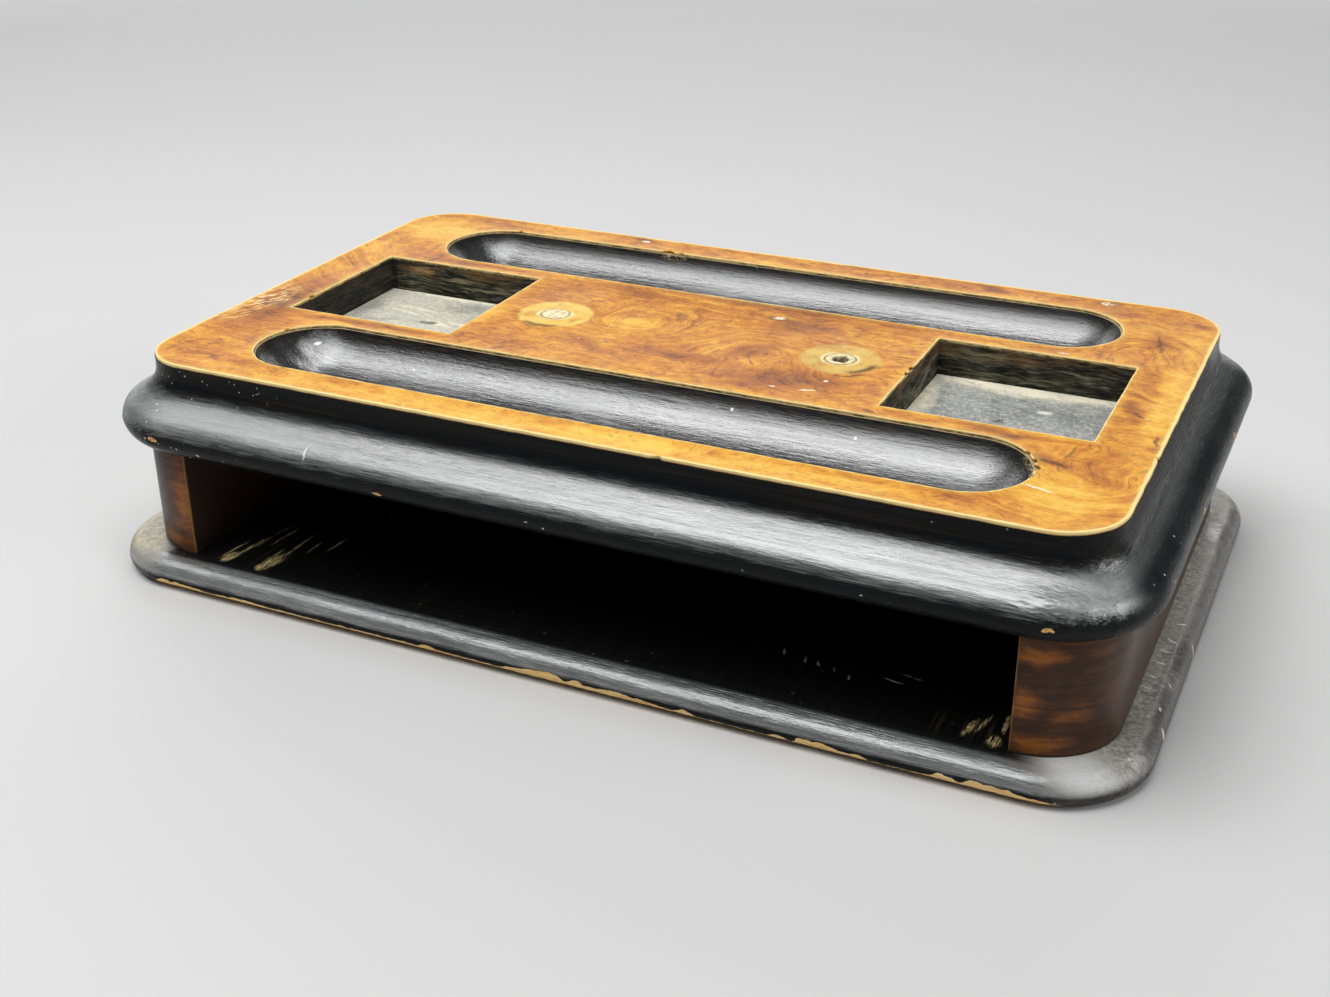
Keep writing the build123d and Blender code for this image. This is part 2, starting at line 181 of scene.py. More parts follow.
# ---- Shader building ----------------------------------------------------------
class Finish:
    """One material's nodes, added by calls that return sockets. Lengths are in millimetres."""

    def __init__(self, name):
        self.material = bpy.data.materials.new(name)
        self.material.use_nodes = True
        self.tree = self.material.node_tree
        self.tree.nodes.clear()
        metres = self.add("ShaderNodeTexCoord").outputs["Object"]
        self.place = self.add("ShaderNodeVectorMath", {0: metres, "Scale": 1000.0},
                              operation="SCALE").outputs[0]
        split = self.add("ShaderNodeSeparateXYZ", {0: self.place})
        self.x, self.y, self.z = split.outputs

    def add(self, kind, inputs=None, **settings):
        node = self.tree.nodes.new(kind)
        for key, value in settings.items():
            setattr(node, key, value)
        for key, value in (inputs or {}).items():
            if isinstance(value, bpy.types.NodeSocket):
                self.tree.links.new(value, node.inputs[key])
            else:
                node.inputs[key].default_value = value
        return node

    def sum(self, operation, *values):
        """One arithmetic step."""
        return self.add("ShaderNodeMath", dict(enumerate(values)), operation=operation).outputs[0]

    def chained(self, operation, values):
        result = values[0]
        for value in values[1:]:
            result = self.sum(operation, result, value)
        return result

    def total(self, *values):
        return self.chained("ADD", values)

    def most(self, *values):
        return self.chained("MAXIMUM", values)

    def product(self, *values):
        return self.chained("MULTIPLY", values)

    def inverse(self, value):
        return self.sum("SUBTRACT", 1.0, value)

    def smooth(self, value, start, end):
        """0 at start and 1 at end, eased."""
        inputs = {"Value": value, "From Min": start, "From Max": end}
        return self.add("ShaderNodeMapRange", inputs, interpolation_type="SMOOTHSTEP").outputs[0]

    def spread(self, value, low, high):
        """A 0 to 1 value spread over low to high."""
        inputs = {"Value": value, "To Min": low, "To Max": high}
        return self.add("ShaderNodeMapRange", inputs).outputs[0]

    def vector(self, operation, first, second):
        return self.add("ShaderNodeVectorMath", {0: first, 1: second}, operation=operation).outputs[0]

    def join(self, x, y, z):
        return self.add("ShaderNodeCombineXYZ", {0: x, 1: y, 2: z}).outputs[0]

    def noise(self, size, detail=2.0, roughness=0.5, twist=0.0, place=None):
        """Cloudy 0 to 1 value. size is a feature's size, one number or one for each axis."""
        return self._noise(size, detail, roughness, twist, place).outputs[0]

    def _noise(self, size, detail, roughness, twist, place):
        inputs = {"Vector": place or self.place, "Detail": detail, "Roughness": roughness,
                  "Distortion": twist}
        if isinstance(size, tuple):
            inputs["Vector"] = self.vector("DIVIDE", inputs["Vector"], size)
            inputs["Scale"] = 1.0
        else:
            inputs["Scale"] = 1 / size
        return self.add("ShaderNodeTexNoise", inputs)

    def wander(self, size, reach, detail=2.0, place=None):
        """The place, pushed about by up to about reach millimetres."""
        tint = self._noise(size, detail, 0.5, 0.0, place).outputs[1]
        centred = self.vector("SUBTRACT", tint, (0.5, 0.5, 0.5))
        inputs = {0: centred, 1: (reach * 2,) * 3, 2: place or self.place}
        return self.add("ShaderNodeVectorMath", inputs, operation="MULTIPLY_ADD").outputs[0]

    def nudged(self, place, value, reach):
        """The place, moved across by a value's share of reach."""
        inputs = {0: self.join(value, value, 0.0), 1: (reach, reach, 0.0), 2: place}
        return self.add("ShaderNodeVectorMath", inputs, operation="MULTIPLY_ADD").outputs[0]

    def specks(self, spacing, radius, share, shift=0.0):
        """Small random marks. spacing is one number, or one for each axis for long marks."""
        spaces = spacing if isinstance(spacing, tuple) else (spacing,) * 3
        inputs = {"Vector": self.place, "Location": (shift, shift * 0.7, shift * 1.3),
                  "Scale": tuple(1 / space for space in spaces)}
        scaled = self.add("ShaderNodeMapping", inputs).outputs[0]
        cells = self.add("ShaderNodeTexVoronoi", {"Vector": scaled, "Scale": 1.0})
        chance = self.add("ShaderNodeSeparateXYZ", {0: cells.outputs["Color"]}).outputs
        size = self.product(chance[1], radius)
        dot = self.smooth(cells.outputs["Distance"], size, self.product(size, 0.5))
        return self.product(dot, self.sum("LESS_THAN", chance[0], share))

    def strokes(self, place, size, share, turn):
        """Random straight strokes at an angle. size is their length and their spacing across."""
        inputs = {"Vector": place, "Rotation": (0, 0, radians(turn)), "Scale": (size[0], size[1], 20.0)}
        local = self.add("ShaderNodeMapping", inputs, vector_type="TEXTURE").outputs[0]
        cells = self.add("ShaderNodeTexVoronoi", {"Vector": local, "Scale": 1.0}, voronoi_dimensions="2D")
        chance = self.add("ShaderNodeSeparateXYZ", {0: cells.outputs["Color"]}).outputs
        return self.product(self.smooth(cells.outputs["Distance"], 0.34, 0.14),
                            self.sum("LESS_THAN", chance[0], share))

    def brush(self, centre, radii, turn=0.0, soft=0.5, place=None):
        """1 inside an ellipse, 0 outside, with a soft edge. A missing size is without limit."""
        full = tuple(centre) + (0.0,) * (3 - len(centre))
        reach = tuple(radii) + (1e5,) * (3 - len(radii))
        inputs = {"Vector": place or self.place, "Location": full, "Rotation": (0, 0, radians(turn)),
                  "Scale": reach}
        local = self.add("ShaderNodeMapping", inputs, vector_type="TEXTURE").outputs[0]
        away = self.add("ShaderNodeVectorMath", {0: local}, operation="LENGTH").outputs["Value"]
        return self.smooth(away, 1.0, 1.0 - soft)

    def brushes(self, marks, soft=0.5, place=None):
        result = 0.0
        for mark in marks:
            result = self.most(result, self.brush(*mark, soft=soft, place=place))
        return result

    def off_box(self, centre, half, radius=0.0, place=None):
        """Distance from a rounded rectangle in plan, below 0 inside it."""
        moved = self.vector("SUBTRACT", place or self.place, tuple(centre) + (0.0,))
        split = self.add("ShaderNodeSeparateXYZ", {0: self.mirrored(moved)})
        over_x = self.sum("SUBTRACT", split.outputs[0], half[0] - radius)
        over_y = self.sum("SUBTRACT", split.outputs[1], half[1] - radius)
        outside = self.join(self.most(over_x, 0.0), self.most(over_y, 0.0), 0.0)
        corner = self.add("ShaderNodeVectorMath", {0: outside}, operation="LENGTH").outputs["Value"]
        inside = self.sum("MINIMUM", self.most(over_x, over_y), 0.0)
        return self.total(corner, inside, -radius)

    def mirrored(self, place):
        """The place with both halves and both sides of the stand folded onto one."""
        return self.add("ShaderNodeVectorMath", {0: place}, operation="ABSOLUTE").outputs[0]

    def mix(self, share, first, second):
        """A colour between two, at a share of the way."""
        sockets = {"Factor_Float": share, "A_Color": first, "B_Color": second}
        node = self.add("ShaderNodeMix", data_type="RGBA")
        for socket in node.inputs:
            value = sockets.get(socket.identifier)
            if isinstance(value, bpy.types.NodeSocket):
                self.tree.links.new(value, socket)
            elif value is not None:
                socket.default_value = value
        return node.outputs[2]

    def coat(self, under, over, *shares):
        """A colour laid over another, by the product of its shares."""
        return self.mix(self.product(*shares), under, over)

    def mix_values(self, share, first, second):
        return self.total(first, self.product(share, second - first))

    def ramp(self, value, stops):
        node = self.add("ShaderNodeValToRGB", {0: value})
        points = node.color_ramp.elements
        while len(points) < len(stops):
            points.new(0.5)
        for point, (position, colour) in zip(points, stops):
            point.position = position
            point.color = colour
        return node.outputs[0]

    def attribute(self, name):
        return self.add("ShaderNodeAttribute", attribute_name=name).outputs["Fac"]

    def bump(self, height, depth, normal=None):
        """Relief of a 0 to 1 height, depth millimetres from its lowest to its highest."""
        inputs = {"Strength": 1.0, "Distance": depth * MM, "Height": height}
        if normal is not None:
            inputs["Normal"] = normal
        return self.add("ShaderNodeBump", inputs).outputs[0]

    def done(self, colour, roughness, normal=None, **sockets):
        inputs = {"Base Color": colour, "Roughness": roughness}
        if normal is not None:
            inputs["Normal"] = normal
        inputs.update({key.replace("_", " "): value for key, value in sockets.items()})
        skin = self.add("ShaderNodeBsdfPrincipled", inputs)
        self.add("ShaderNodeOutputMaterial", {"Surface": skin.outputs[0]})
        return self.material


# ---- Places of the wear, in millimetres of the frame --------------------------
DISCS = ((-49.0, 0.0), (49.0, 0.0))
DISC_RADIUS = 13.2

# Dark figure of the burr: centre, radii, turn in degrees.
BURR_SHADE = (
    ((-30.0, -19.0), (18.0, 5.0), -22),
    ((2.0, -18.0), (22.0, 5.5), 6),
    ((23.0, -4.0), (12.0, 7.0), 55),
    ((8.0, 36.0), (60.0, 6.0), -2),
    ((-137.0, -24.0), (17.0, 42.0), 0),
    ((38.0, -24.0), (28.0, 12.0), 15),
    ((28.0, 22.0), (18.0, 12.0), 40),
    ((-34.0, 30.0), (24.0, 8.0), -6),
    ((108.0, -33.5), (26.0, 3.0), 0),
    ((125.0, -48.0), (10.0, 4.0), -20),
    ((-60.0, 86.0), (14.0, 3.0), -20),
    ((74.0, 82.0), (10.0, 4.0), -20),
    ((-100.0, -33.6), (38.0, 3.2), 0),
    ((-98.0, 33.8), (34.0, 3.0), 0),
    ((133.5, 53.0), (6.0, 15.0), -4),
    ((144.0, 73.0), (6.0, 4.0), 0),
    ((137.5, -5.0), (5.0, 11.0), 12),
)
# Pale figure of the burr.
BURR_LIGHT = (
    ((-20.0, 2.0), (22.0, 10.0), 8),
    ((0.0, -82.0), (190.0, 9.0), 0),
    ((132.0, -66.0), (24.0, 18.0), 10),
    ((145.0, 10.0), (7.0, 80.0), 0),
    ((-70.0, -8.0), (9.0, 14.0), 0),
    ((-134.0, 66.0), (24.0, 26.0), 0),
)
# Thin dark veins of the burr.
BURR_VEINS = (
    ((135.0, 50.0), (1.1, 14.0), 14),
    ((140.0, -7.0), (0.9, 7.0), 55),
    ((148.0, -23.0), (0.8, 7.0), 8),
    ((-45.0, -9.8), (2.6, 0.7), 12),
    ((-14.0, -32.5), (2.2, 0.8), 30),
    ((57.0, -11.5), (6.0, 1.1), 30),
    ((70.5, -34.5), (4.5, 1.2), -8),
    ((124.0, -47.5), (9.0, 1.4), -20),
    ((8.0, 83.0), (4.0, 0.6), 40),
)
# Pale marks on the top: flecks of old glue, filler and bruises.
TOP_MARKS = (
    ((18.9, 26.1), (2.6, 1.6), 10),
    ((112.3, 83.1), (3.0, 2.0), 0),
    ((-56.0, 82.5), (2.4, 1.4), -10),
    ((109.2, 32.4), (2.2, 0.7), 5),
    ((48.5, -27.3), (3.2, 0.6), 20),
    ((38.1, -28.6), (1.2, 0.6), 0),
    ((51.1, -18.6), (0.8, 0.8), 0),
    ((124.5, -64.5), (7.0, 0.6), -14),
)
# Bites out of the veneer's edges: centre, radius, in millimetres.
VENEER_CHIPS = (
    ((-43.7, 75.0), 2.2),
    ((-38.5, 75.1), 1.3),
    ((-104.5, 74.6), 1.1),
    ((119.8, -48.5), 1.6),
    ((121.6, -52.5), 1.9),
    ((121.9, -58.5), 1.5),
    ((117.5, -44.0), 1.2),
    ((70.6, 1.5), 1.6),
    ((70.8, -3.0), 1.3),
    ((-131.8, -17.5), 1.4),
    ((28.6, -87.9), 1.4),
    ((-119.5, -47.8), 1.2),
    ((150.0, -34.0), 1.0),
    ((-88.0, 30.2), 0.9),
)
# Bare wood on the black mouldings: place, radius, depth.
MOULDING_CHIPS = (
    ((-134.5, -99.5, 50.4), 1.5, 0.5),
    ((138.0, -99.4, 49.8), 1.3, 0.5),
    ((-54.0, -98.6, 48.0), 1.1, 0.3),
    ((161.2, -20.0, 51.5), 1.3, 0.4),
    ((161.4, 34.0, 52.5), 1.0, 0.3),
    ((-161.5, -46.0, 50.5), 1.6, 0.4),
    ((60.0, 99.2, 51.5), 1.6, 0.4),
)
# Nicks and scratches in the black polish: centre, radii, turn.
POLISH_NICKS = (
    ((-79.0, -98.0, 56.0), (0.45, 3.0, 3.2), 0),
    ((-68.0, -95.6, 59.8), (0.5, 2.0, 1.2), 0),
    ((-63.5, -98.4, 56.6), (1.4, 2.0, 0.5), 0),
    ((-118.0, -98.6, 48.0), (0.8, 1.8, 0.6), 0),
    ((-95.0, -94.6, 60.2), (1.0, 2.0, 0.8), 0),
    ((-55.0, -98.4, 48.4), (1.4, 1.6, 0.4), 0),
    ((-5.0, -98.6, 49.6), (1.0, 1.6, 0.35), 0),
    ((0.0, -98.4, 48.6), (0.5, 1.6, 0.5), 0),
    ((91.0, -99.0, 49.0), (0.6, 1.6, 0.4), 0),
)
# Bare wood in the bay: centre, radii, turn.
BAY_WEAR = (
    ((-105.2, -86.0), (2.8, 7.5), -10),
    ((-104.2, -76.0), (0.7, 13.0), 0),
    ((-107.4, -82.0), (0.6, 6.0), -6),
    ((-119.4, -88.5), (2.4, 4.6), -14),
    ((-117.4, -80.0), (0.9, 9.0), -8),
    ((-121.5, -84.0), (0.5, 8.0), -8),
    ((-93.4, -68.0), (0.6, 6.5), -4),
    ((-112.0, -70.0), (0.6, 9.0), -4),
    ((-115.6, -72.0), (0.5, 11.0), -6),
    ((-99.0, -72.0), (0.5, 6.0), 0),
    ((-106.2, -90.0), (2.6, 3.2), -8),
    ((118.2, -85.0), (1.3, 6.0), -10),
    ((121.0, -82.0), (0.9, 6.0), -12),
    ((125.6, -89.0), (2.4, 3.6), 6),
    ((126.5, -80.0), (0.9, 6.0), 4),
    ((97.0, -68.0), (5.0, 0.5), -10),
)
# Height of the bare wood along the base's lower front arris: x, height.
ARRIS_WEAR = (
    (-141, 0.0), (-137, 1.7), (-125, 1.4), (-119, 0.8), (-106, 1.4), (-97, 1.0), (-62, 0.9), (-43, 0.9),
    (-39, 1.8),
    (-34, 0.9), (-16, 0.8), (-10, 1.6), (-4, 2.4), (3, 2.6), (7, 1.4), (10, 2.5), (13, 1.5), (22, 2.0),
    (29, 1.6),
    (40, 0.8), (43, 1.8), (47, 0.6), (67, 0.5), (71, 1.5), (74.5, 0.2), (77, 2.1), (84, 2.0), (89, 1.0),
    (93, 1.5),
    (97, 0.4), (111, 0.6), (115, 2.0), (118, 1.7), (120.5, 0.8), (123, 2.2), (131, 2.0), (139, 1.3),
    (148, 0.0),
)
# Short pale scratches on the base's right side.
SIDE_SCRATCHES = (
    ((158.6, -18.4), (3.0, 0.42), -38),
    ((164.6, -16.6), (3.8, 0.40), -66),
    ((157.6, -25.0), (2.8, 0.40), -8),
    ((157.2, -32.0), (2.9, 0.42), -12),
    ((156.8, -40.2), (2.4, 0.40), -10),
    ((156.4, -46.2), (2.2, 0.38), -6),
    ((162.2, -41.6), (1.2, 0.40), -50),
    ((161.6, -54.6), (1.5, 0.45), -70),
    ((164.0, -62.0), (1.4, 0.40), -75),
    ((159.0, -8.0), (2.2, 0.36), 20),
    ((152.8, -63.0), (1.6, 0.30), 25),
)
# Short pale dashes on the bay's floor.
BAY_DASHES = (
    ((60.0, -70.0), (0.5, 2.4), 20),
    ((67.0, -71.5), (0.5, 2.2), 20),
    ((71.0, -72.0), (0.5, 1.8), 25),
    ((76.0, -73.0), (0.4, 1.6), 20),
    ((81.0, -75.0), (0.5, 1.8), 20),
    ((93.0, -72.0), (4.0, 0.45), -8),
)


# ---- Finishes -----------------------------------------------------------------
# The black polish mirrors little where it is dull, and more where it is rubbed.
DULL_IOR = 1.18
GLEAM_IOR = 2.3


def scuffed_top_edges(f, jitter):
    """Distance in plan from the nearest cut edge of the top veneer, in millimetres."""
    mirrored = f.mirrored(jitter)
    field = f.off_box((0, 0), (HALF_LENGTH / MM, HALF_DEPTH / MM), FIELD_RADIUS / MM, place=jitter)
    trough_half = (TROUGH_LENGTH / 2 / MM, TROUGH_WIDTH / 2 / MM)
    trough = f.off_box((0, TROUGH_OFFSET / MM), trough_half, TROUGH_WIDTH / 2 / MM, place=mirrored)
    well_half = (WELL_LENGTH / 2 / MM, WELL_WIDTH / 2 / MM)
    well = f.off_box((WELL_OFFSET / MM, 0), well_half, 0.4, place=mirrored)
    openings = f.sum("MINIMUM", f.sum("ABSOLUTE", trough), f.sum("ABSOLUTE", well))
    return f.sum("MINIMUM", f.sum("ABSOLUTE", field), openings)


def burr_walnut(tones):
    """Burr walnut: soft mottled gold with thin broken contour lines, worn wax, pale rubbed edges."""
    f = Finish("worn_burr_walnut")
    drift = f.wander(40, 12, detail=2)
    fine = f.wander(8, 2.4, detail=3, place=drift)
    knots = (((-20, 3), (32, 22), 26), ((26, -4), (30, 26), -24), ((134, -60), (34, 30), 24),
             ((-128, 20), (30, 40), 24), ((128, 50), (26, 34), -22), ((0, -82), (120, 10), 8))
    lift = [f.product(f.brush(centre, radii, soft=1.0, place=drift), height) for centre, radii,
            height in knots]
    level = f.total(f.add("ShaderNodeSeparateXYZ", {0: fine}).outputs[1], *lift)
    across = f.add("ShaderNodeSeparateXYZ", {0: fine}).outputs[0]
    along = f.join(across, level, 0.0)
    bands = f.noise((34, 5, 1), 4, 0.6, place=along)
    fibres = f.noise((9, 1.1, 1), 3, 0.65, place=along)
    clouds = f.noise(24, 3, 0.55, place=drift)
    mottle = f.noise(3.8, 6, 0.70, place=f.wander(6, 2))
    near = f.wander(12, 4.5, detail=3)
    shade = f.brushes(BURR_SHADE, soft=0.9, place=near)
    light = f.brushes(BURR_LIGHT, soft=0.9, place=f.nudged(near, shade, 1.0))
    tone = f.total(
        0.54,
        f.product(f.total(bands, -0.5), 0.62),
        f.product(f.total(fibres, -0.5), 0.46),
        f.product(f.total(clouds, -0.5), 0.46),
        f.product(f.total(mottle, -0.5), 0.66),
        f.product(shade, -0.20),
        f.product(light, 0.24),
    )
    colour = f.ramp(tone, [
        (0.10, tones.burr_dark), (0.30, tones.burr_brown), (0.48, tones.burr_orange),
        (0.66, tones.burr_gold), (0.92, tones.burr_pale),
    ])

    # Thin dark lines that follow the figure, broken up.
    figure = f.noise((26, 6.5, 1), 1, 0.4, place=along)
    fold = f.sum("FRACT", f.product(figure, 11.0))
    thread = f.smooth(f.sum("ABSOLUTE", f.total(fold, -0.5)), 0.13, 0.02)
    broken = f.smooth(f.noise(7, 3, 0.6), 0.44, 0.58)
    colour = f.coat(colour, tones.burr_dark, thread, broken, f.spread(light, 0.50, 0.12))
    smudge = f.product(shade, f.smooth(mottle, 0.44, 0.60), 0.45)
    colour = f.mix(smudge, colour, tones.burr_brown)
    flecks = f.most(f.smooth(f.noise((2.4, 0.42, 1), 2, 0.5, place=along), 0.62, 0.70),
                    f.product(f.smooth(f.noise((0.5, 1.6, 1), 2, 0.5), 0.66, 0.74), 0.7))
    colour = f.coat(colour, tones.burr_dark, flecks, 0.42)
    veins = f.brushes(BURR_VEINS, soft=0.7,
                      place=f.wander(5, 1.9, detail=3, place=f.nudged(f.place, light, 0.5)))
    colour = f.mix(f.product(veins, f.smooth(f.noise(2.6, 3, 0.6), 0.36, 0.55), 0.75), colour,
                   tones.burr_dark)

    # Ghosts of the lost handle's two round plates, one at each side of the middle.
    ragged = f.wander(4, 0.9, detail=3, place=f.nudged(f.place, veins, 0.3))
    mirrored = f.mirrored(ragged)
    ghost = f.brush((PLUG_OFFSET / MM, 0.0), (DISC_RADIUS, DISC_RADIUS * 0.97), soft=0.13, place=mirrored)
    core = f.brush((PLUG_OFFSET / MM, 0.0), (DISC_RADIUS - 1.8,) * 2, soft=0.2, place=mirrored)
    rim = f.product(ghost, f.inverse(core))
    patchy = f.smooth(f.noise(6, 3, 0.6), 0.28, 0.60)
    colour = f.mix(f.product(ghost, f.spread(patchy, 0.35, 0.85)), colour,
                   f.mix(f.smooth(f.x, -5, 5), display(0.93, 0.80, 0.44), display(0.84, 0.73, 0.42)))
    scuff = f.brushes([((59.5, -7.0), (8.0, 9.0), 30), ((-50, -12), (10, 5.0), 6)], soft=0.6, place=ragged)
    colour = f.coat(colour, tones.burr_dark, rim, scuff, 0.85)
    filler = f.brush((PLUG_OFFSET / MM, 0.0), (6.9, 5.7), soft=0.2, place=mirrored)
    colour = f.coat(colour, display(0.95, 0.89, 0.68), filler, 0.8)

    # Marks, scratches and rubbed edges, with a painted highlight on the edges.
    halo = f.brushes([((18.9, 26.1), (7.5, 3.4), 0), ((112.3, 83.1), (6.0, 3.6), 0)], soft=0.8, place=near)
    colour = f.coat(colour, tones.burr_dark, halo, 0.6)
    marks = f.brushes(TOP_MARKS, soft=0.45,
                      place=f.wander(1.6, 0.7, detail=3, place=f.nudged(f.place, ghost, 0.3)))
    marks = f.product(marks, f.smooth(f.noise(1.1, 3, 0.65), 0.36, 0.50))
    colour = f.coat(colour, display(0.95, 0.92, 0.82), marks, 0.85)
    bowed = f.wander(7, 2.5, detail=1, place=f.nudged(f.place, marks, 0.3))
    scratched = f.brush((-146.0, -29.0), (11.0, 25.0), -6, soft=0.6, place=bowed)
    cuts = f.most(f.strokes(bowed, (9.0, 1.2), 0.75, 62), f.strokes(bowed, (7.0, 1.1), 0.6, 44))
    colour = f.coat(colour, tones.worn_wood, scratched, cuts, 0.9)
    stray = f.most(f.specks((22, 3.0, 9), 0.10, 0.12, shift=7), f.specks((3.5, 19, 9), 0.10, 0.09, shift=53))
    colour = f.coat(colour, tones.worn_wood, stray, 0.4)
    pins = f.specks(12, 0.06, 0.40, shift=90)
    colour = f.coat(colour, display(0.93, 0.90, 0.80), pins, 0.8)
    pits = f.specks(9, 0.06, 0.3, shift=140)
    colour = f.coat(colour, tones.burr_dark, pits, 0.75)

    edge = scuffed_top_edges(f, f.wander(2.5, 0.35, detail=3, place=f.nudged(f.place, scratched, 0.1)))
    outer = f.smooth(f.off_box((0, 0), (HALF_LENGTH / MM, HALF_DEPTH / MM), FIELD_RADIUS / MM), -3.0, -1.5)
    width = f.product(f.spread(f.noise(13, 3, 0.6), 0.30, 0.95), f.spread(outer, 0.95, 2.5))
    # The thin cream line along the cut edges is rubbed bare wood with a painted highlight of the rounded
    # arris.
    rub = f.smooth(edge, width, f.product(width, 0.35))
    glow = f.product(f.smooth(edge, 3.4, 0.3), 0.30)
    colour = f.mix(glow, colour, tones.burr_pale)
    colour = f.coat(colour, tones.worn_wood, rub, 0.95)
    side = f.product(f.smooth(f.z, TOP_FACE / MM - 0.3, TOP_FACE / MM - 0.6), f.inverse(outer))
    dirty = f.spread(f.smooth(f.noise(4.0, 4, 0.65), 0.40, 0.58), 0.45, 0.95)
    colour = f.coat(colour, display(0.34, 0.26, 0.16), side, dirty)
    soiled = f.product(f.smooth(f.z, TOP_FACE / MM - 0.6, TOP_FACE / MM - 0.95), outer)
    colour = f.coat(colour, tones.burr_brown, soiled, 0.8)

    worn = f.most(rub, marks, f.product(scratched, cuts))
    gloss = f.total(f.spread(f.noise(16, 3, 0.6), 0.40, 0.58), f.product(worn, 0.2), f.product(ghost, 0.15))
    pores = f.smooth(f.noise((2.4, 0.5, 1), 2, 0.5), 0.58, 0.70)
    normal = f.bump(f.total(f.noise(4.5, 3, 0.6), f.product(pores, -0.5)), 0.07)
    return f.done(colour, gloss, normal, Specular_IOR_Level=0.07)


def gleam(f, rubbed, limit):
    """How strongly the black polish mirrors, from dull at 0 to rubbed at 1 and on up to a limit."""
    return f.mix_values(f.sum("MINIMUM", f.most(rubbed, 0.0), limit), DULL_IOR, GLEAM_IOR)


def black_grain(f, along_x):
    """Grain, hairs and crinkles of black polished wood, with their length along X or Y."""
    def stretched(length, width):
        return (length, width, width) if along_x else (width, length, width)

    grain = f.noise(stretched(60.0, 1.2), 4, 0.65)
    hairs = f.noise(stretched(7.0, 0.4), 3, 0.6)
    crinkle = f.noise(stretched(3.0, 0.9), 3, 0.6, twist=0.4)
    clouds = f.noise(stretched(34.0, 15.0), 3, 0.55)
    return grain, hairs, crinkle, clouds


def polish(f, grain, hairs, crinkle, clouds, matt, lumps=0.35):
    """Roughness and relief of the black polish."""
    gloss = f.total(f.spread(clouds, 0.17, 0.30), f.product(f.total(grain, -0.5), 0.16),
                    f.product(f.total(hairs, -0.5), 0.30), f.product(matt, 0.38))
    relief = f.total(f.product(grain, 0.7), f.product(hairs, 0.6), f.product(crinkle, 0.8))
    normal = f.bump(relief, 0.14)
    return f.sum("MAXIMUM", gloss, 0.16), f.bump(clouds, lumps, normal)


def ebonised_moulding(name, tones, along_x):
    """Black polished moulding: dusty slope with a painted highlight, rubbed nose, flecks and small bare
    chips.
    """
    f = Finish(name)
    grain, hairs, crinkle, clouds = black_grain(f, along_x)
    top = TOP_FACE / MM
    height = f.total(f.z, f.product(f.total(hairs, grain, -1.0), 4.0))
    slope = f.product(f.smooth(height, top - 7.5, top - 12.5), f.smooth(height, 51.6, 55.2))
    # The slope's milky grey is partly dust and partly a painted highlight, made stronger to the left and left
    # off on the right side.
    slope_dust_and_highlight = f.product(slope, f.spread(f.smooth(clouds, 0.30, 0.70), 0.20, 0.38),
                      f.smooth(f.x, 157, 151), f.spread(f.smooth(f.x, -40, -140), 1.0, 1.7))
    right = f.product(f.smooth(f.x, 152.0, 158.0), f.spread(f.smooth(clouds, 0.3, 0.7), 0.0, 0.05))
    # Front corners: a painted highlight on the slope at the mitres, and more flecks of dust there.
    corner = f.brushes([((150, -92), (18, 15), 0), ((-157, -92), (12, 14), 0)], soft=0.7)
    film = f.noise(1.4, 4, 0.7)
    # Dust and painted highlight together, laid over the black.
    dusty = f.product(f.total(slope_dust_and_highlight, right, f.product(corner, slope, 0.30)), f.spread(film, 0.6, 1.3))
    colour = f.mix(dusty, tones.ebony, tones.ebony_dust_and_sheen)
    hollow = f.product(f.smooth(f.z, top - 13, top - 7), f.smooth(grain, 0.45, 0.7))
    colour = f.coat(colour, display(0.17, 0.155, 0.125), hollow, 0.5)
    flecks = f.most(f.product(f.specks(6.5, 0.10, 0.5), f.spread(corner, 0.35, 1.0)),
                    f.product(f.specks(13, 0.055, 0.75, shift=17), 0.9))
    near_corner = f.brushes([((-158, -90), (95, 34), 0), ((170, -60), (22, 40), 0)], soft=1.0)
    dots = f.product(f.smooth(near_corner, 0.05, 0.6), f.specks(1.7, 0.30, 0.26, shift=63))
    colour = f.coat(colour, display(0.86, 0.86, 0.84), f.most(flecks, dots), 0.85)
    bent = f.wander(2.5, 0.6)
    line = f.brushes(POLISH_NICKS, soft=0.6, place=bent)
    colour = f.coat(colour, display(0.88, 0.87, 0.82), line, 0.9)
    chips = []
    for place, radius, _ in MOULDING_CHIPS:
        length, width = (radius * 1.7, 3.0) if along_x else (3.0, radius * 1.7)
        chips.append((place, (length, width, radius * 0.75), 0))
    bare = f.smooth(f.brushes(chips, soft=0.6,
                              place=f.wander(1.3, 0.7, detail=3, place=f.nudged(f.place, line, 0.1))),
                    0.35, 0.5)
    colour = f.mix(bare, colour, f.mix(f.smooth(hairs, 0.4, 0.6), tones.bare_pine, display(0.80, 0.58, 0.32)))
    gloss, normal = polish(f, grain, hairs, crinkle, clouds, f.most(dusty, bare), 0.55)
    puckered = f.product(f.brush((143, -98, 55), (24, 10, 7), soft=1.0),
                         f.noise((9, 9, 3.5), 2, 0.5, twist=0.5))
    normal = f.bump(puckered, 1.9, normal)
    streaks = f.spread(f.total(f.product(grain, 0.6), f.product(hairs, 0.4)), -0.10, 2.05)
    rubbed = f.product(slope, f.spread(f.smooth(f.x, 158, 150), 0.0, 1.0), f.inverse(bare), streaks,
                       f.spread(f.smooth(f.x, -150, 60), 1.1, 1.55))
    return f.done(colour, gloss, normal, IOR=gleam(f, rubbed, 1.8))


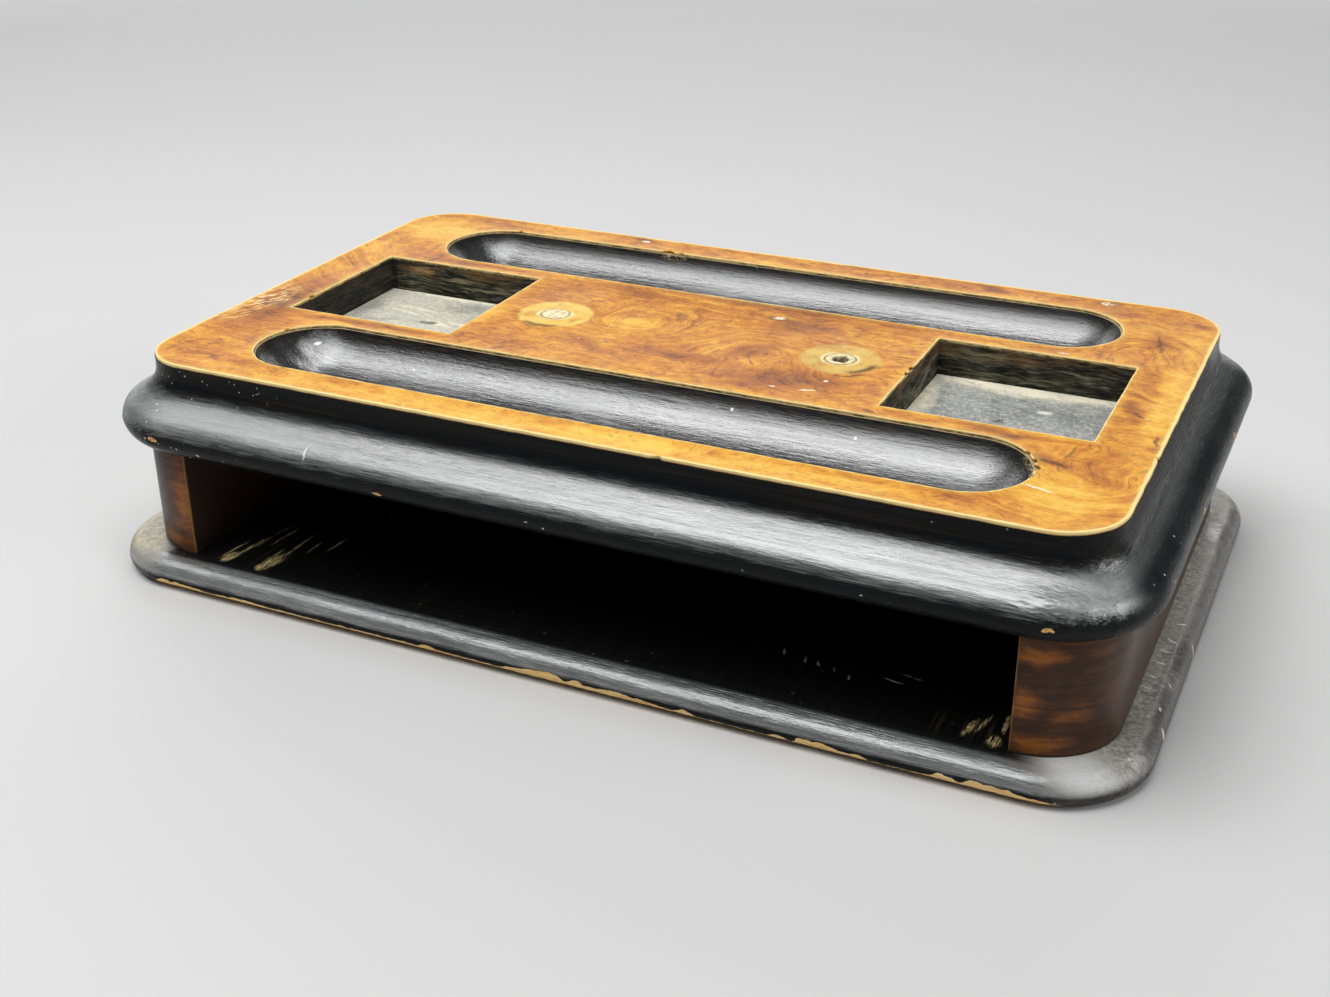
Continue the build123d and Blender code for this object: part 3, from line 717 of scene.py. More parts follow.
def carved_board(tones):
    """The top board: black polished troughs, rough stained wells, bare wood under the veneer."""
    f = Finish("carved_board")
    grain, hairs, crinkle, clouds = black_grain(f, True)
    colour = f.mix(f.product(f.smooth(grain, 0.50, 0.75), 0.45), tones.ebony, display(0.135, 0.135, 0.14))
    lip = f.product(f.smooth(f.z, 65.5, 69), f.smooth(hairs, 0.42, 0.62))
    colour = f.coat(colour, display(0.30, 0.28, 0.23), lip, 0.35)
    dust = f.product(f.smooth(clouds, 0.45, 0.72), f.smooth(f.z, 68, 60), 0.20)
    # Pale patches on the troughs' domed ends are a painted highlight, mixed in with the dust.
    painted_dome_highlight = f.brushes([((-111, -41, 67), (7, 4, 5), 0), ((-101.3, -43, 63.5), (6, 4, 5), 0),
                       ((-113, 67.5, 65), (7, 5, 5), 0)], soft=1.0, place=f.wander(4, 2.5, detail=3))
    dust = f.most(dust, f.product(painted_dome_highlight, f.smooth(hairs, 0.30, 0.65), 0.50))
    colour = f.mix(dust, colour, tones.ebony_dust_and_sheen)
    dots = f.most(f.specks(11, 0.045, 0.6), f.product(f.specks(4.5, 0.07, 0.22, shift=23), 0.8))
    colour = f.coat(colour, display(0.88, 0.88, 0.86), dots, 0.85)
    marks = f.brushes([((68.6, -41.6), (0.5, 0.4), 20), ((110.0, -66.0), (0.5, 0.4), 0),
                       ((112.0, 57.0), (1.6, 0.5), 30),
                       ((-112.0, -43.5), (1.6, 0.5), 40), ((30.5, -40.2), (0.6, 0.4), 0)], soft=0.5)
    colour = f.coat(colour, display(0.90, 0.90, 0.88), marks, 0.9)
    chipped = f.product(f.brushes([((119, -54), (6, 13), 0), ((-41, 74.5), (6, 3), 0)], soft=0.6),
                        f.smooth(f.z, 67.6, 69.2), f.smooth(f.noise(0.8, 3, 0.6), 0.46, 0.53))
    colour = f.coat(colour, display(0.72, 0.66, 0.52), chipped, 0.9)

    # The wells: brown stained end and side grain, streaky and dry.
    bent = f.wander((12, 12, 5), 2.0)
    streak = f.noise((8, 8, 0.45), 4, 0.70, place=bent)
    patches = f.noise((12, 12, 4.0), 3, 0.6)
    wall = f.ramp(f.total(f.product(streak, 0.8), f.product(patches, 0.6), -0.2), [
        (0.34, display(0.075, 0.08, 0.07)), (0.47, tones.well_stain), (0.57, display(0.37, 0.37, 0.31)),
        (0.70, display(0.66, 0.64, 0.52)),
    ])
    browned = f.product(f.smooth(f.z, 63.5, 67.5), f.smooth(patches, 0.40, 0.58))
    wall = f.mix(f.product(browned, 0.65), wall, display(0.42, 0.29, 0.17))
    # The left well's far left wall is made darker.
    left_wall_dark = f.smooth(f.x, -129.5, -130.3)
    wall = f.mix(f.product(left_wall_dark, 0.75), wall, display(0.13, 0.13, 0.13))
    ragged = f.smooth(streak, 0.38, 0.60)
    knot = f.brush((-119.5, 29.7, 66.6), (7.5, 3.0, 2.4), soft=0.8, place=bent)
    wall = f.mix(f.product(knot, ragged, 0.9), wall, display(0.76, 0.62, 0.41))
    pale = f.brushes([((-103, 29.7, 65.0), (14, 3.0, 1.2), 0), ((-92, 29.7, 62.2), (12, 3.0, 0.7), 0),
                      ((86, 29.7, 67.4), (14, 3.0, 1.6), 0)], soft=0.8, place=bent)
    wall = f.mix(f.product(pale, ragged, 0.8), wall, display(0.60, 0.56, 0.44))
    in_well = f.product(f.smooth(f.sum("ABSOLUTE", f.x), 69.0, 70.0),
                        f.smooth(f.sum("ABSOLUTE", f.y), 31.5, 30.5),
                        f.smooth(f.z, 55, 56))
    colour = f.mix(in_well, colour, wall)

    # Under the veneer the board is bare, and its underside is brown.
    bare = f.smooth(f.z, 69.735, 69.749)
    colour = f.mix(bare, colour,
                   f.mix(f.noise((9, 0.7, 1), 3, 0.6), display(0.80, 0.72, 0.55), display(0.54, 0.47, 0.35)))
    below = f.smooth(f.z, 45.0, 44.7)
    colour = f.mix(below, colour, tones.stain)
    dry = f.most(in_well, bare, below, chipped)
    gloss, normal = polish(f, grain, hairs, crinkle, clouds, f.most(dust, dry), 0.45)
    rough = f.product(dry, f.total(streak, f.noise(1.6, 3, 0.7)))
    normal = f.bump(rough, 0.35, normal)
    domes = f.brush((112, 56), (20, 22), soft=0.9, place=f.mirrored(f.place))
    lumpy = f.product(domes, f.smooth(f.x, 60, -60), f.noise(10.0, 1, 0.4))
    normal = f.bump(lumpy, 1.9, normal)
    streaks = f.spread(f.total(f.product(grain, 0.65), f.product(hairs, 0.35)), 0.30, 1.65)
    bright = f.product(f.brushes([((6, 58.5), (120, 7), 0), ((6, -53.0), (120, 7), 0)], soft=1.0),
                      f.smooth(hairs, 0.36, 0.66), f.smooth(f.z, 64.0, 60.5))
    bottom = f.total(f.spread(f.smooth(f.z, 67.5, 61.5), 0.62, 1.50), f.product(bright, 1.5))
    rubbed = f.product(f.smooth(f.total(f.z, f.product(hairs, 1.5)), 70.0, 66.5), f.inverse(dry), streaks,
                       bottom)
    return f.done(colour, gloss, normal, IOR=gleam(f, rubbed, 3.0))


def ebonised_base(tones):
    """The base: black at the front, grey with dust at the ends, bare pine along the worn lower arris."""
    f = Finish("ebonised_base")
    grain, hairs, crinkle, clouds = black_grain(f, True)
    fine = f.noise(2.2, 4, 0.7)
    drifts = f.noise(17, 4, 0.6)
    across = f.sum("ABSOLUTE", f.x)
    colour = f.mix(f.product(f.smooth(grain, 0.50, 0.8), 0.5), tones.ebony, display(0.14, 0.13, 0.115))

    # Dust: thick on the ends, thin on the front corners, none in the middle.
    ends = f.smooth(f.total(across, f.product(f.total(drifts, -0.5), 12)), 137, 149)
    flat = f.smooth(f.z, 4.2, 8.2)
    front_clear = f.spread(f.smooth(f.y, -88, -98), 1.0, 0.75)
    sheltered = f.brushes([((-152, -62), (15, 40), 0), ((149, -91), (22, 16), -30),
                           ((-152, 40), (14, 60), 0)], soft=0.8)
    dust = f.product(ends, f.spread(flat, 0.16, 1.0), front_clear,
                     f.spread(f.smooth(f.total(drifts, f.product(fine, 0.3)), 0.45, 0.80), 0.75, 1.0))
    dust = f.most(dust, f.product(sheltered, f.smooth(f.z, 3.2, 6.4), f.smooth(across, 128, 143),
                                  f.spread(fine, 0.7, 1.1)))
    wiped = f.brushes([((162.0, -26.0), (4.5, 12.0), 0), ((158, 56), (4, 8), 0), ((163, -60), (3.5, 22), 0)],
                      soft=0.5, place=f.wander(5, 2.5))
    speckled = f.product(f.smooth(f.noise(1.5, 3, 0.7), 0.48, 0.58), f.smooth(f.x, 149, 156))
    outer = f.product(f.smooth(f.total(f.x, f.product(f.total(drifts, -0.5), 9)), 157, 163),
                      f.smooth(f.y, -88, -72))
    dust = f.product(dust, f.inverse(f.product(wiped, 0.55)), f.inverse(f.product(speckled, 0.42)),
                     f.inverse(f.product(outer, 0.62)))
    left_side = f.smooth(f.x, 0, -20)
    pale = f.most(f.smooth(drifts, 0.40, 0.62), left_side)
    grey = f.mix(f.smooth(fine, 0.38, 0.58), display(0.60, 0.59, 0.55), display(0.80, 0.79, 0.75))
    beige = f.mix(f.smooth(fine, 0.30, 0.64), display(0.68, 0.65, 0.56), display(0.86, 0.83, 0.74))
    colour = f.mix(f.sum("MINIMUM", dust, 1.0), colour,
                   f.mix(pale, tones.base_dust, f.mix(left_side, grey, beige)))
    # The grey veil on the nose's top is partly dust and partly a painted highlight, stronger to the left.
    nose_top = f.product(f.smooth(f.total(f.z, f.product(hairs, 1.6)), 4.6, 6.4), f.smooth(f.y, -94, -96.5))
    nose_spread = f.product(f.smooth(f.z, 4.0, 7.0), f.spread(hairs, 0.4, 1.5))
    nose_dust_and_highlight = f.product(nose_top, f.spread(f.smooth(clouds, 0.3, 0.7), 0.40, 0.62), f.spread(hairs, 0.2, 1.5),
                     f.spread(f.smooth(f.x, -20, -110), 1.0, 1.4))
    colour = f.mix(nose_dust_and_highlight, colour, tones.ebony_dust_and_sheen)
    short = f.brushes(SIDE_SCRATCHES, soft=0.7, place=f.wander(4, 1.1, detail=1))
    colour = f.coat(colour, display(0.98, 0.97, 0.93), short, 0.95)
    # Front right corner of the nose: pale grey, partly dust and partly a painted sheen.
    corner_dust_and_sheen = f.product(f.brush((148, -92), (22, 12), -28, soft=0.8), nose_spread)
    colour = f.coat(colour, display(0.90, 0.91, 0.92), corner_dust_and_sheen, 0.55)
    dots = f.most(f.product(f.specks(3.6, 0.22, 0.60, shift=11), f.spread(ends, 0.10, 1.0)),
                  f.specks(13, 0.045, 0.7, shift=29))
    colour = f.coat(colour, display(0.85, 0.84, 0.80), dots, 0.8)

    # The bay's floor: rubbed by the drawer.
    near = f.wander(2.2, 0.6, detail=3)
    streaks = f.noise((0.55, 5.0, 2), 4, 0.7)
    rubbed = f.product(f.brushes(BAY_WEAR, soft=0.55, place=near), f.smooth(streaks, 0.40, 0.50))
    colour = f.mix(f.product(rubbed, 0.95), colour,
                   f.mix(f.smooth(fine, 0.35, 0.60), display(0.72, 0.60, 0.38), display(1.0, 0.92, 0.68)))
    dash = f.product(f.brushes(BAY_DASHES, soft=0.5, place=near), f.smooth(fine, 0.35, 0.55))
    colour = f.coat(colour, display(0.90, 0.88, 0.78), dash, 0.9)
    inside = f.product(f.smooth(across, 131, 129), f.smooth(f.y, -96, -91))
    tracks = f.product(inside, f.smooth(f.noise((1.0, 40, 4), 3, 0.6), 0.48, 0.75))
    worn_left = f.brushes([((-110, -76), (26, 22), 0), ((118, -84), (14, 10), 0)], soft=0.9)
    colour = f.coat(colour, display(0.34, 0.32, 0.26), tracks, f.spread(worn_left, 0.10, 0.8))
    cracked = f.wander((22, 2.0, 4), 0.8)
    cracks = f.brushes([((-10, -97.4), (160, 0.35), 0), ((20, -96.2), (120, 0.25), 0)], soft=0.6,
                       place=cracked)
    cracks = f.product(cracks, f.smooth(f.noise((9, 0.8, 2), 3, 0.6), 0.36, 0.52))
    colour = f.coat(colour, display(0.02, 0.02, 0.02), cracks, 0.8)

    # The lower arris: bare pine below a ragged black edge.
    strip = f.total(f.attribute("bare"), f.product(f.total(fine, -0.5), 0.45),
                    f.product(f.total(f.noise((4, 1.0, 1.0), 3, 0.65), -0.5), 0.75))
    bare = f.smooth(strip, 0.46, 0.54)
    scorched = f.product(f.smooth(strip, 0.20, 0.46), f.inverse(bare))
    colour = f.coat(colour, display(0.035, 0.03, 0.025), scorched, 0.8)
    pine = f.ramp(f.noise((14, 0.8, 0.8), 4, 0.6), [
        (0.28, display(0.84, 0.62, 0.34)), (0.44, tones.bare_pine), (0.64, display(1.0, 0.90, 0.68)),
    ])
    colour = f.mix(bare, colour, pine)
    raw = f.smooth(f.z, BASE_BOTTOM / MM + 0.12, BASE_BOTTOM / MM + 0.02)
    colour = f.coat(colour, tones.stain, raw, 0.8)
    dry = f.most(f.sum("MINIMUM", dust, 1.0), bare, f.product(inside, 0.35), scorched)
    relief = f.total(f.product(fine, 0.5), f.product(cracks, -1.5), f.product(rubbed, -0.8),
                     f.product(bare, -0.8))
    gloss, normal = polish(f, grain, hairs, crinkle, clouds, dry, 0.45)
    streaked = f.spread(f.total(f.product(grain, 0.5), f.product(hairs, 0.5)), -0.2, 2.2)
    nose = f.product(f.smooth(f.total(f.z, f.product(hairs, 1.2)), 4.4, 6.0), f.inverse(inside),
                     f.inverse(dry), streaked)
    return f.done(colour, gloss, f.bump(relief, 0.14, normal), IOR=gleam(f, nose, 1.5))


def side_walnut(name, tones, patches):
    """Straight walnut with its grain running level round the carcase."""
    f = Finish(name)
    bent = f.wander((40, 40, 8), 2.5, detail=2)
    bands = f.noise((60, 60, 3.2), 4, 0.6, place=bent)
    lines = f.noise((24, 24, 0.6), 3, 0.65, place=bent)
    clouds = f.noise(18, 3, 0.6)
    mottle = f.noise((6, 6, 3.2), 4, 0.65)
    warm = f.brushes(patches, soft=1.0, place=f.wander(9, 3.6, detail=3)) if patches else 0.0
    tone = f.total(0.42, f.product(f.total(bands, -0.5), 0.65), f.product(f.total(lines, -0.5), 0.40),
                   f.product(f.total(clouds, -0.5), 0.45), f.product(f.total(mottle, -0.5), 0.55),
                   f.product(warm, 0.52))
    colour = f.ramp(tone, [(0.18, tones.walnut_dark), (0.45, tones.walnut), (0.68, display(0.40, 0.23, 0.11)),
                           (0.90, tones.walnut_warm)])
    pores = f.noise((5, 5, 0.28), 2, 0.5)
    colour = f.coat(colour, tones.walnut_dark, f.smooth(pores, 0.60, 0.70), 0.5)
    mouth = f.sum("ABSOLUTE", f.total(f.sum("ABSOLUTE", f.x), -BAY_HALF / MM))
    rub = f.product(f.smooth(mouth, f.spread(f.noise(5, 3, 0.6), 0.1, 0.9), 0.05), f.smooth(f.y, -40, -80))
    colour = f.coat(colour, display(0.66, 0.48, 0.28), rub, 0.8)
    # A painted shadow along the foot, where the side meets the base.
    painted_contact_shadow = f.smooth(f.z, BASE_TOP / MM + 0.9, BASE_TOP / MM + 0.2)
    colour = f.coat(colour, display(0.05, 0.04, 0.035), painted_contact_shadow, 0.85)
    dust = f.product(f.smooth(f.x, 148, 155), f.smooth(clouds, 0.35, 0.7), 0.10)
    colour = f.mix(dust, colour, tones.ebony_dust_and_sheen)
    flecks = f.specks(14, 0.05, 0.6, shift=5)
    colour = f.coat(colour, display(0.80, 0.72, 0.60), flecks, 0.7)
    gloss = f.total(f.spread(clouds, 0.26, 0.42), f.product(dust, 0.5))
    normal = f.bump(f.total(f.product(lines, 0.7), f.product(pores, -0.4), f.product(clouds, 0.8)), 0.12)
    return f.done(colour, gloss, normal, IOR=1.3)


def raw_wood(name, base, streak, size, roughness=0.65):
    """Sawn or planed wood without polish. size is the grain's length along each axis."""
    f = Finish(name)
    grain = f.noise(size, 5, 0.65, twist=0.3)
    clouds = f.noise(22, 3, 0.6)
    colour = f.mix(f.smooth(f.total(grain, f.product(f.total(clouds, -0.5), 0.5)), 0.32, 0.70), base, streak)
    saw = f.noise(tuple(s * 0.4 for s in size), 3, 0.7)
    normal = f.bump(f.total(grain, f.product(saw, 0.6)), 0.16)
    return f.done(colour, f.spread(clouds, roughness - 0.08, roughness + 0.12), normal)


def well_panel(tones):
    """Thin floor panels of the wells, grey with old ink and pale with dust, with a painted pool of light on
    the left floor.
    """
    f = Finish("dusty_well_panel")
    slanted = f.add("ShaderNodeMapping", {"Vector": f.place, "Rotation": (0, 0, radians(16))}).outputs[0]
    grain = f.noise((22, 2.2, 1), 5, 0.68, place=slanted)
    clouds = f.noise(15, 4, 0.6)
    fine = f.noise(1.1, 4, 0.7)
    colour = f.mix(f.smooth(f.total(f.product(grain, 0.4), f.product(clouds, 0.6)), 0.40, 0.62),
                   tones.well_floor,
                   display(0.50, 0.51, 0.50))
    right = f.smooth(f.x, -2, 2)
    # Pale patches on the left floor: partly dust, partly a painted pool of light.
    pale_dust_and_light = f.brushes([((-112, 12), (20, 9), -14), ((-95, 5), (20, 6), 12), ((-104, -12), (22, 12), 0)],
                    soft=0.9,
                    place=f.wander(10, 4))
    rims = f.brushes([((100, 31.5), (46, 12.5), 0), ((68.5, 6), (10, 34), 0), ((-104, 31), (34, 6), 0)],
                     soft=0.55,
                     place=f.wander(5, 3.0, detail=3))
    worn = f.smooth(f.noise((16, 3.0, 1), 5, 0.70, place=slanted), 0.40, 0.58)
    dust = f.most(f.product(pale_dust_and_light, f.spread(worn, 0.35, 1.25)), f.product(rims, 1.05),
                  f.product(f.inverse(right), 0.50))
    dust = f.product(dust, f.spread(f.smooth(f.total(grain, clouds), 0.78, 1.08), 0.55, 1.1),
                     f.spread(fine, 0.5, 1.4))
    colour = f.mix(f.sum("MINIMUM", dust, 1.0), colour, tones.well_dust_and_light)
    ink = f.brushes([((-96, 21), (13, 7), 12), ((-128, 8), (6, 16), 0), ((-118, 1), (14, 2.2), 20),
                     ((-84, 12), (9, 6), 0)], soft=0.9, place=f.wander(8, 4, detail=3))
    ink = f.product(ink, f.spread(f.smooth(grain, 0.35, 0.6), 0.25, 0.65))
    colour = f.mix(ink, colour, display(0.42, 0.44, 0.44))
    spots = f.brushes([((-101.0, 3.8), (4.4, 2.0), 8), ((98.5, 0.8), (3.2, 2.0), 0)], soft=0.5,
                      place=f.wander(1.8, 0.9, detail=3))
    colour = f.coat(colour, display(0.20, 0.26, 0.26), spots, 0.85)
    white = f.brushes([((109.5, 12.4), (3.2, 1.8), 5)], soft=0.6, place=f.wander(1.5, 0.5))
    colour = f.coat(colour, display(0.93, 0.92, 0.88), white, 0.9)
    colour = f.coat(colour, display(0.93, 0.92, 0.86), f.smooth(fine, 0.48, 0.64), 0.45)
    colour = f.coat(colour, display(0.42, 0.43, 0.41), f.smooth(fine, 0.46, 0.30), 0.35)
    grit = f.specks(2.4, 0.14, 0.35)
    colour = f.coat(colour, display(0.95, 0.94, 0.89), grit, 0.6)
    dirt = f.specks(3.4, 0.12, 0.3, shift=19)
    colour = f.coat(colour, display(0.25, 0.24, 0.20), dirt, 0.5)
    normal = f.bump(f.total(f.product(grain, 0.6), fine, f.product(dust, 0.8)), 0.24)
    return f.done(colour, f.spread(clouds, 0.62, 0.85), normal)


def plug_wood(tones):
    """Pale end grain of the plugs, dirty at the rim and round the hole, with painted shade down the bore."""
    f = Finish("dirty_plug_wood")
    rings = f.noise((0.8, 7, 1), 4, 0.6)
    dirt = f.noise(1.6, 3, 0.65)
    colour = f.mix(f.smooth(rings, 0.42, 0.68), tones.plug, display(0.80, 0.71, 0.50))
    colour = f.coat(colour, display(0.50, 0.42, 0.28), f.smooth(dirt, 0.52, 0.68), 0.55)
    spots = [(spot, (PLUG_RADIUS / MM - 0.5,) * 2, 0) for spot in DISCS]
    rim = f.inverse(f.brushes(spots, soft=0.10, place=f.wander(1.5, 0.4)))
    colour = f.coat(colour, display(0.45, 0.34, 0.20), rim, 0.55)
    hole = f.brushes([(DISCS[1], (3.1, 2.9), 0)], soft=0.25, place=f.wander(1.2, 0.5))
    colour = f.coat(colour, display(0.24, 0.17, 0.11), hole, 0.8)
    # Painted shade: darker below the top face, down the bore.
    deep = f.smooth(f.z, TOP_FACE / MM - 0.6, TOP_FACE / MM - 3.0)
    colour = f.mix(deep, colour, display(0.10, 0.07, 0.05))
    normal = f.bump(f.total(rings, dirt), 0.25)
    return f.done(colour, 0.68, normal)


def screw_steel(tones):
    f = Finish("rusted_screw_steel")
    turned = f.noise((0.25, 0.25, 3.0), 3, 0.6)
    rust = f.smooth(f.noise(2.0, 4, 0.7), 0.50, 0.66)
    colour = f.mix(rust, tones.steel, display(0.36, 0.22, 0.13))
    metal = f.spread(rust, 1.0, 0.15)
    return f.done(colour, f.spread(rust, 0.38, 0.8), f.bump(turned, 0.04), Metallic=metal)


def wool_baize(tones):
    """Felted wool: matted short fibres."""
    f = Finish("wool_baize")
    fibres = f.most(f.noise((2.2, 0.22, 0.3), 3, 0.6, twist=1.2),
                    f.noise((0.22, 2.2, 0.3), 3, 0.6, twist=1.2))
    nap = f.noise(7, 3, 0.6)
    colour = f.mix(f.smooth(fibres, 0.50, 0.72), tones.baize, display(0.19, 0.24, 0.22))
    colour = f.coat(colour, display(0.07, 0.08, 0.08), f.smooth(nap, 0.5, 0.7), 0.4)
    lint = f.specks((5, 0.8, 2), 0.22, 0.2)
    colour = f.coat(colour, display(0.55, 0.53, 0.48), lint, 0.5)
    return f.done(colour, 0.95, f.bump(f.total(fibres, nap), 0.3), Sheen_Weight=0.35, Sheen_Roughness=0.6)


def studio_floor(tones):
    f = Finish("studio_floor")
    shade = f.mix(f.noise(240, 3, 0.5), tones.floor, display(0.81, 0.81, 0.81))
    normal = f.bump(f.noise(3, 3, 0.6), 0.05)
    # Far off, where the lamps don't reach, the floor stays pale to the eye.
    away = f.add("ShaderNodeVectorMath", {0: f.place}, operation="LENGTH").outputs["Value"]
    seen = f.add("ShaderNodeLightPath").outputs["Is Camera Ray"]
    far = f.product(f.smooth(away, 1000, 2200), seen)
    return f.done(shade, 0.8, normal, Emission_Color=shade, Emission_Strength=far)


# ---- Mesh building ------------------------------------------------------------
class Pen:
    """Draws a chain of edges in a bmesh, by straight runs and arcs."""

    def __init__(self, shape, start):
        self.shape = shape
        self.tip = shape.verts.new(start)

    def run(self, to, cuts=1):
        step = (Vector(to) - self.tip.co) / cuts
        for _ in range(cuts):
            self.tip = bmesh.ops.extrude_vert_indiv(self.shape, verts=[self.tip])["verts"][0]
            self.tip.co += step

    def arc(self, centre, angle, steps):
        """Turns about an axis along X."""
        turned = bmesh.ops.spin(
            self.shape, geom=[self.tip], cent=centre, axis=X_AXIS, dvec=STILL, angle=angle, steps=steps
        )
        self.tip = next(e for e in turned["geom_last"] if isinstance(e, bmesh.types.BMVert))


def carry(shape, chain, legs):
    """Carries a chain of edges along straight legs and round corners, with a skin behind it.

    A leg is its travel, the centre and angle of its turn about Z, and its steps.
    """
    for travel, centre, angle, steps in legs:
        step = Vector(travel) / steps
        moved = bmesh.ops.spin(
            shape, geom=chain, cent=centre, axis=Z_AXIS, dvec=step, angle=angle, steps=steps
        )
        chain = moved["geom_last"]
    return chain


def loose_ends(shape):
    return [e for e in shape.edges if e.is_boundary]


def tidy(shape):
    bmesh.ops.remove_doubles(shape, verts=shape.verts, dist=MERGE)
    bmesh.ops.recalc_face_normals(shape, faces=shape.faces)


def make_piece(name, shape, finish, nodes, smooth=35):
    """An object from a finished bmesh, riding on the stand, in place of CAD nodes."""
    mesh = bpy.data.meshes.new(name)
    shape.to_mesh(mesh)
    shape.free()
    piece = bpy.data.objects.new(name, mesh)
    bpy.context.scene.collection.objects.link(piece)
    mesh.materials.append(finish)
    mesh.shade_smooth()
    mesh.set_sharp_from_angle(angle=radians(smooth))
    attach(piece, "root")
    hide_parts(*nodes)
    return piece


def finish_node(node, finish):
    """A CAD node shown as it is, with a better finish."""
    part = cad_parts[node]
    part.data.materials.clear()
    part.data.materials.append(finish)


def unevenness(place, reach):
    """How far a hand-worked surface stands out at a place, up to about reach."""
    slow = noise.noise(place / (34 * MM))
    quick = noise.noise(place / (9 * MM) + Vector((7, 3, 1)))
    return reach * (0.7 * slow + 0.3 * quick)


def chip(shape, place, radius, depth):
    """A ragged shallow loss."""
    centre = Vector(place) * MM
    reach = radius * MM
    for vert in shape.verts:
        away = (vert.co - centre).length / reach
        if away < 1.6:
            ragged = away * (1 + 0.45 * noise.noise(vert.co / (1.7 * MM)))
            if ragged < 1:
                vert.co -= vert.normal * depth * MM * (1 - ragged ** 3)


def enclosed(shape):
    """Area inside one closed outline."""
    first = vert = next(iter(shape.verts))
    edge = vert.link_edges[0]
    twice = 0.0
    while twice == 0.0 or vert != first:
        ahead = edge.other_vert(vert)
        twice += vert.co.x * ahead.co.y - ahead.co.x * vert.co.y
        edge = next(e for e in ahead.link_edges if e != edge)
        vert = ahead
    return abs(twice) / 2


def fill(shape, area):
    """Fills flat outlines, leaving open those that lie inside another. Stops if the area comes out wrong."""
    outline = set(shape.edges)
    for turn in FILL_TURNS:
        bmesh.ops.rotate(shape, verts=shape.verts, cent=STILL, matrix=Matrix.Rotation(turn, 3, "Z"))
        bmesh.ops.triangle_fill(shape, use_beauty=True, use_dissolve=False, edges=shape.edges, normal=UP)
        bmesh.ops.rotate(shape, verts=shape.verts, cent=STILL, matrix=Matrix.Rotation(-turn, 3, "Z"))
        if abs(sum(face.calc_area() for face in shape.faces) - area) < AREA_SLACK:
            return
        bmesh.ops.delete(shape, geom=[e for e in shape.edges if e not in outline], context="EDGES_FACES")
    raise RuntimeError("an outline could not be filled")


# ---- The veneer ---------------------------------------------------------------
def outline_plate(shape, centre, half, radius, steps):
    """One flat face with rounded corners at the top face's level."""
    place = Matrix.Translation((centre[0], centre[1], TOP_FACE)) @ Matrix.Diagonal((half[0], half[1], 1, 1))
    made = bmesh.ops.create_grid(shape, x_segments=1, y_segments=1, size=1, matrix=place)
    bmesh.ops.bevel(
        shape, geom=made["verts"], offset=radius, segments=steps, profile=0.5, affect="VERTICES",
        material=-1, offset_type="OFFSET", clamp_overlap=False,
    )


def ragged_outline(sizes, centre, half, radius, steps):
    """Closed chain of points round an opening or the field, strayed and chipped."""
    shape = bmesh.new()
    outline_plate(shape, centre, half, radius, steps)
    bmesh.ops.delete(shape, geom=list(shape.faces), context="FACES_ONLY")
    bmesh.ops.remove_doubles(shape, verts=shape.verts, dist=0.02 * MM)
    for edge in list(shape.edges):
        cuts = int(edge.calc_length() / sizes.outline_step)
        if cuts > 0:
            bmesh.ops.subdivide_edges(shape, edges=[edge], cuts=cuts)
    for vert in shape.verts:
        stray = noise.noise_vector(vert.co / (4 * MM)) + 0.6 * noise.noise_vector(vert.co / (1.6 * MM))
        vert.co.x += stray.x * sizes.outline_wander
        vert.co.y += stray.y * sizes.outline_wander
    return shape


def bite(shape, middle, inward):
    """Takes the listed chips out of an outline: inward is 1 for an opening, -1 for the field."""
    for place, radius in VENEER_CHIPS:
        spot = Vector((place[0] * MM, place[1] * MM, TOP_FACE))
        for vert in shape.verts:
            away = (vert.co - spot).length / (radius * MM)
            if away < 1:
                push = vert.co - middle(vert.co)
                push.z = 0
                ragged = 0.75 + 0.5 * noise.noise(vert.co / (0.8 * MM))
                vert.co += push.normalized() * inward * radius * MM * (1 - away ** 2) * ragged


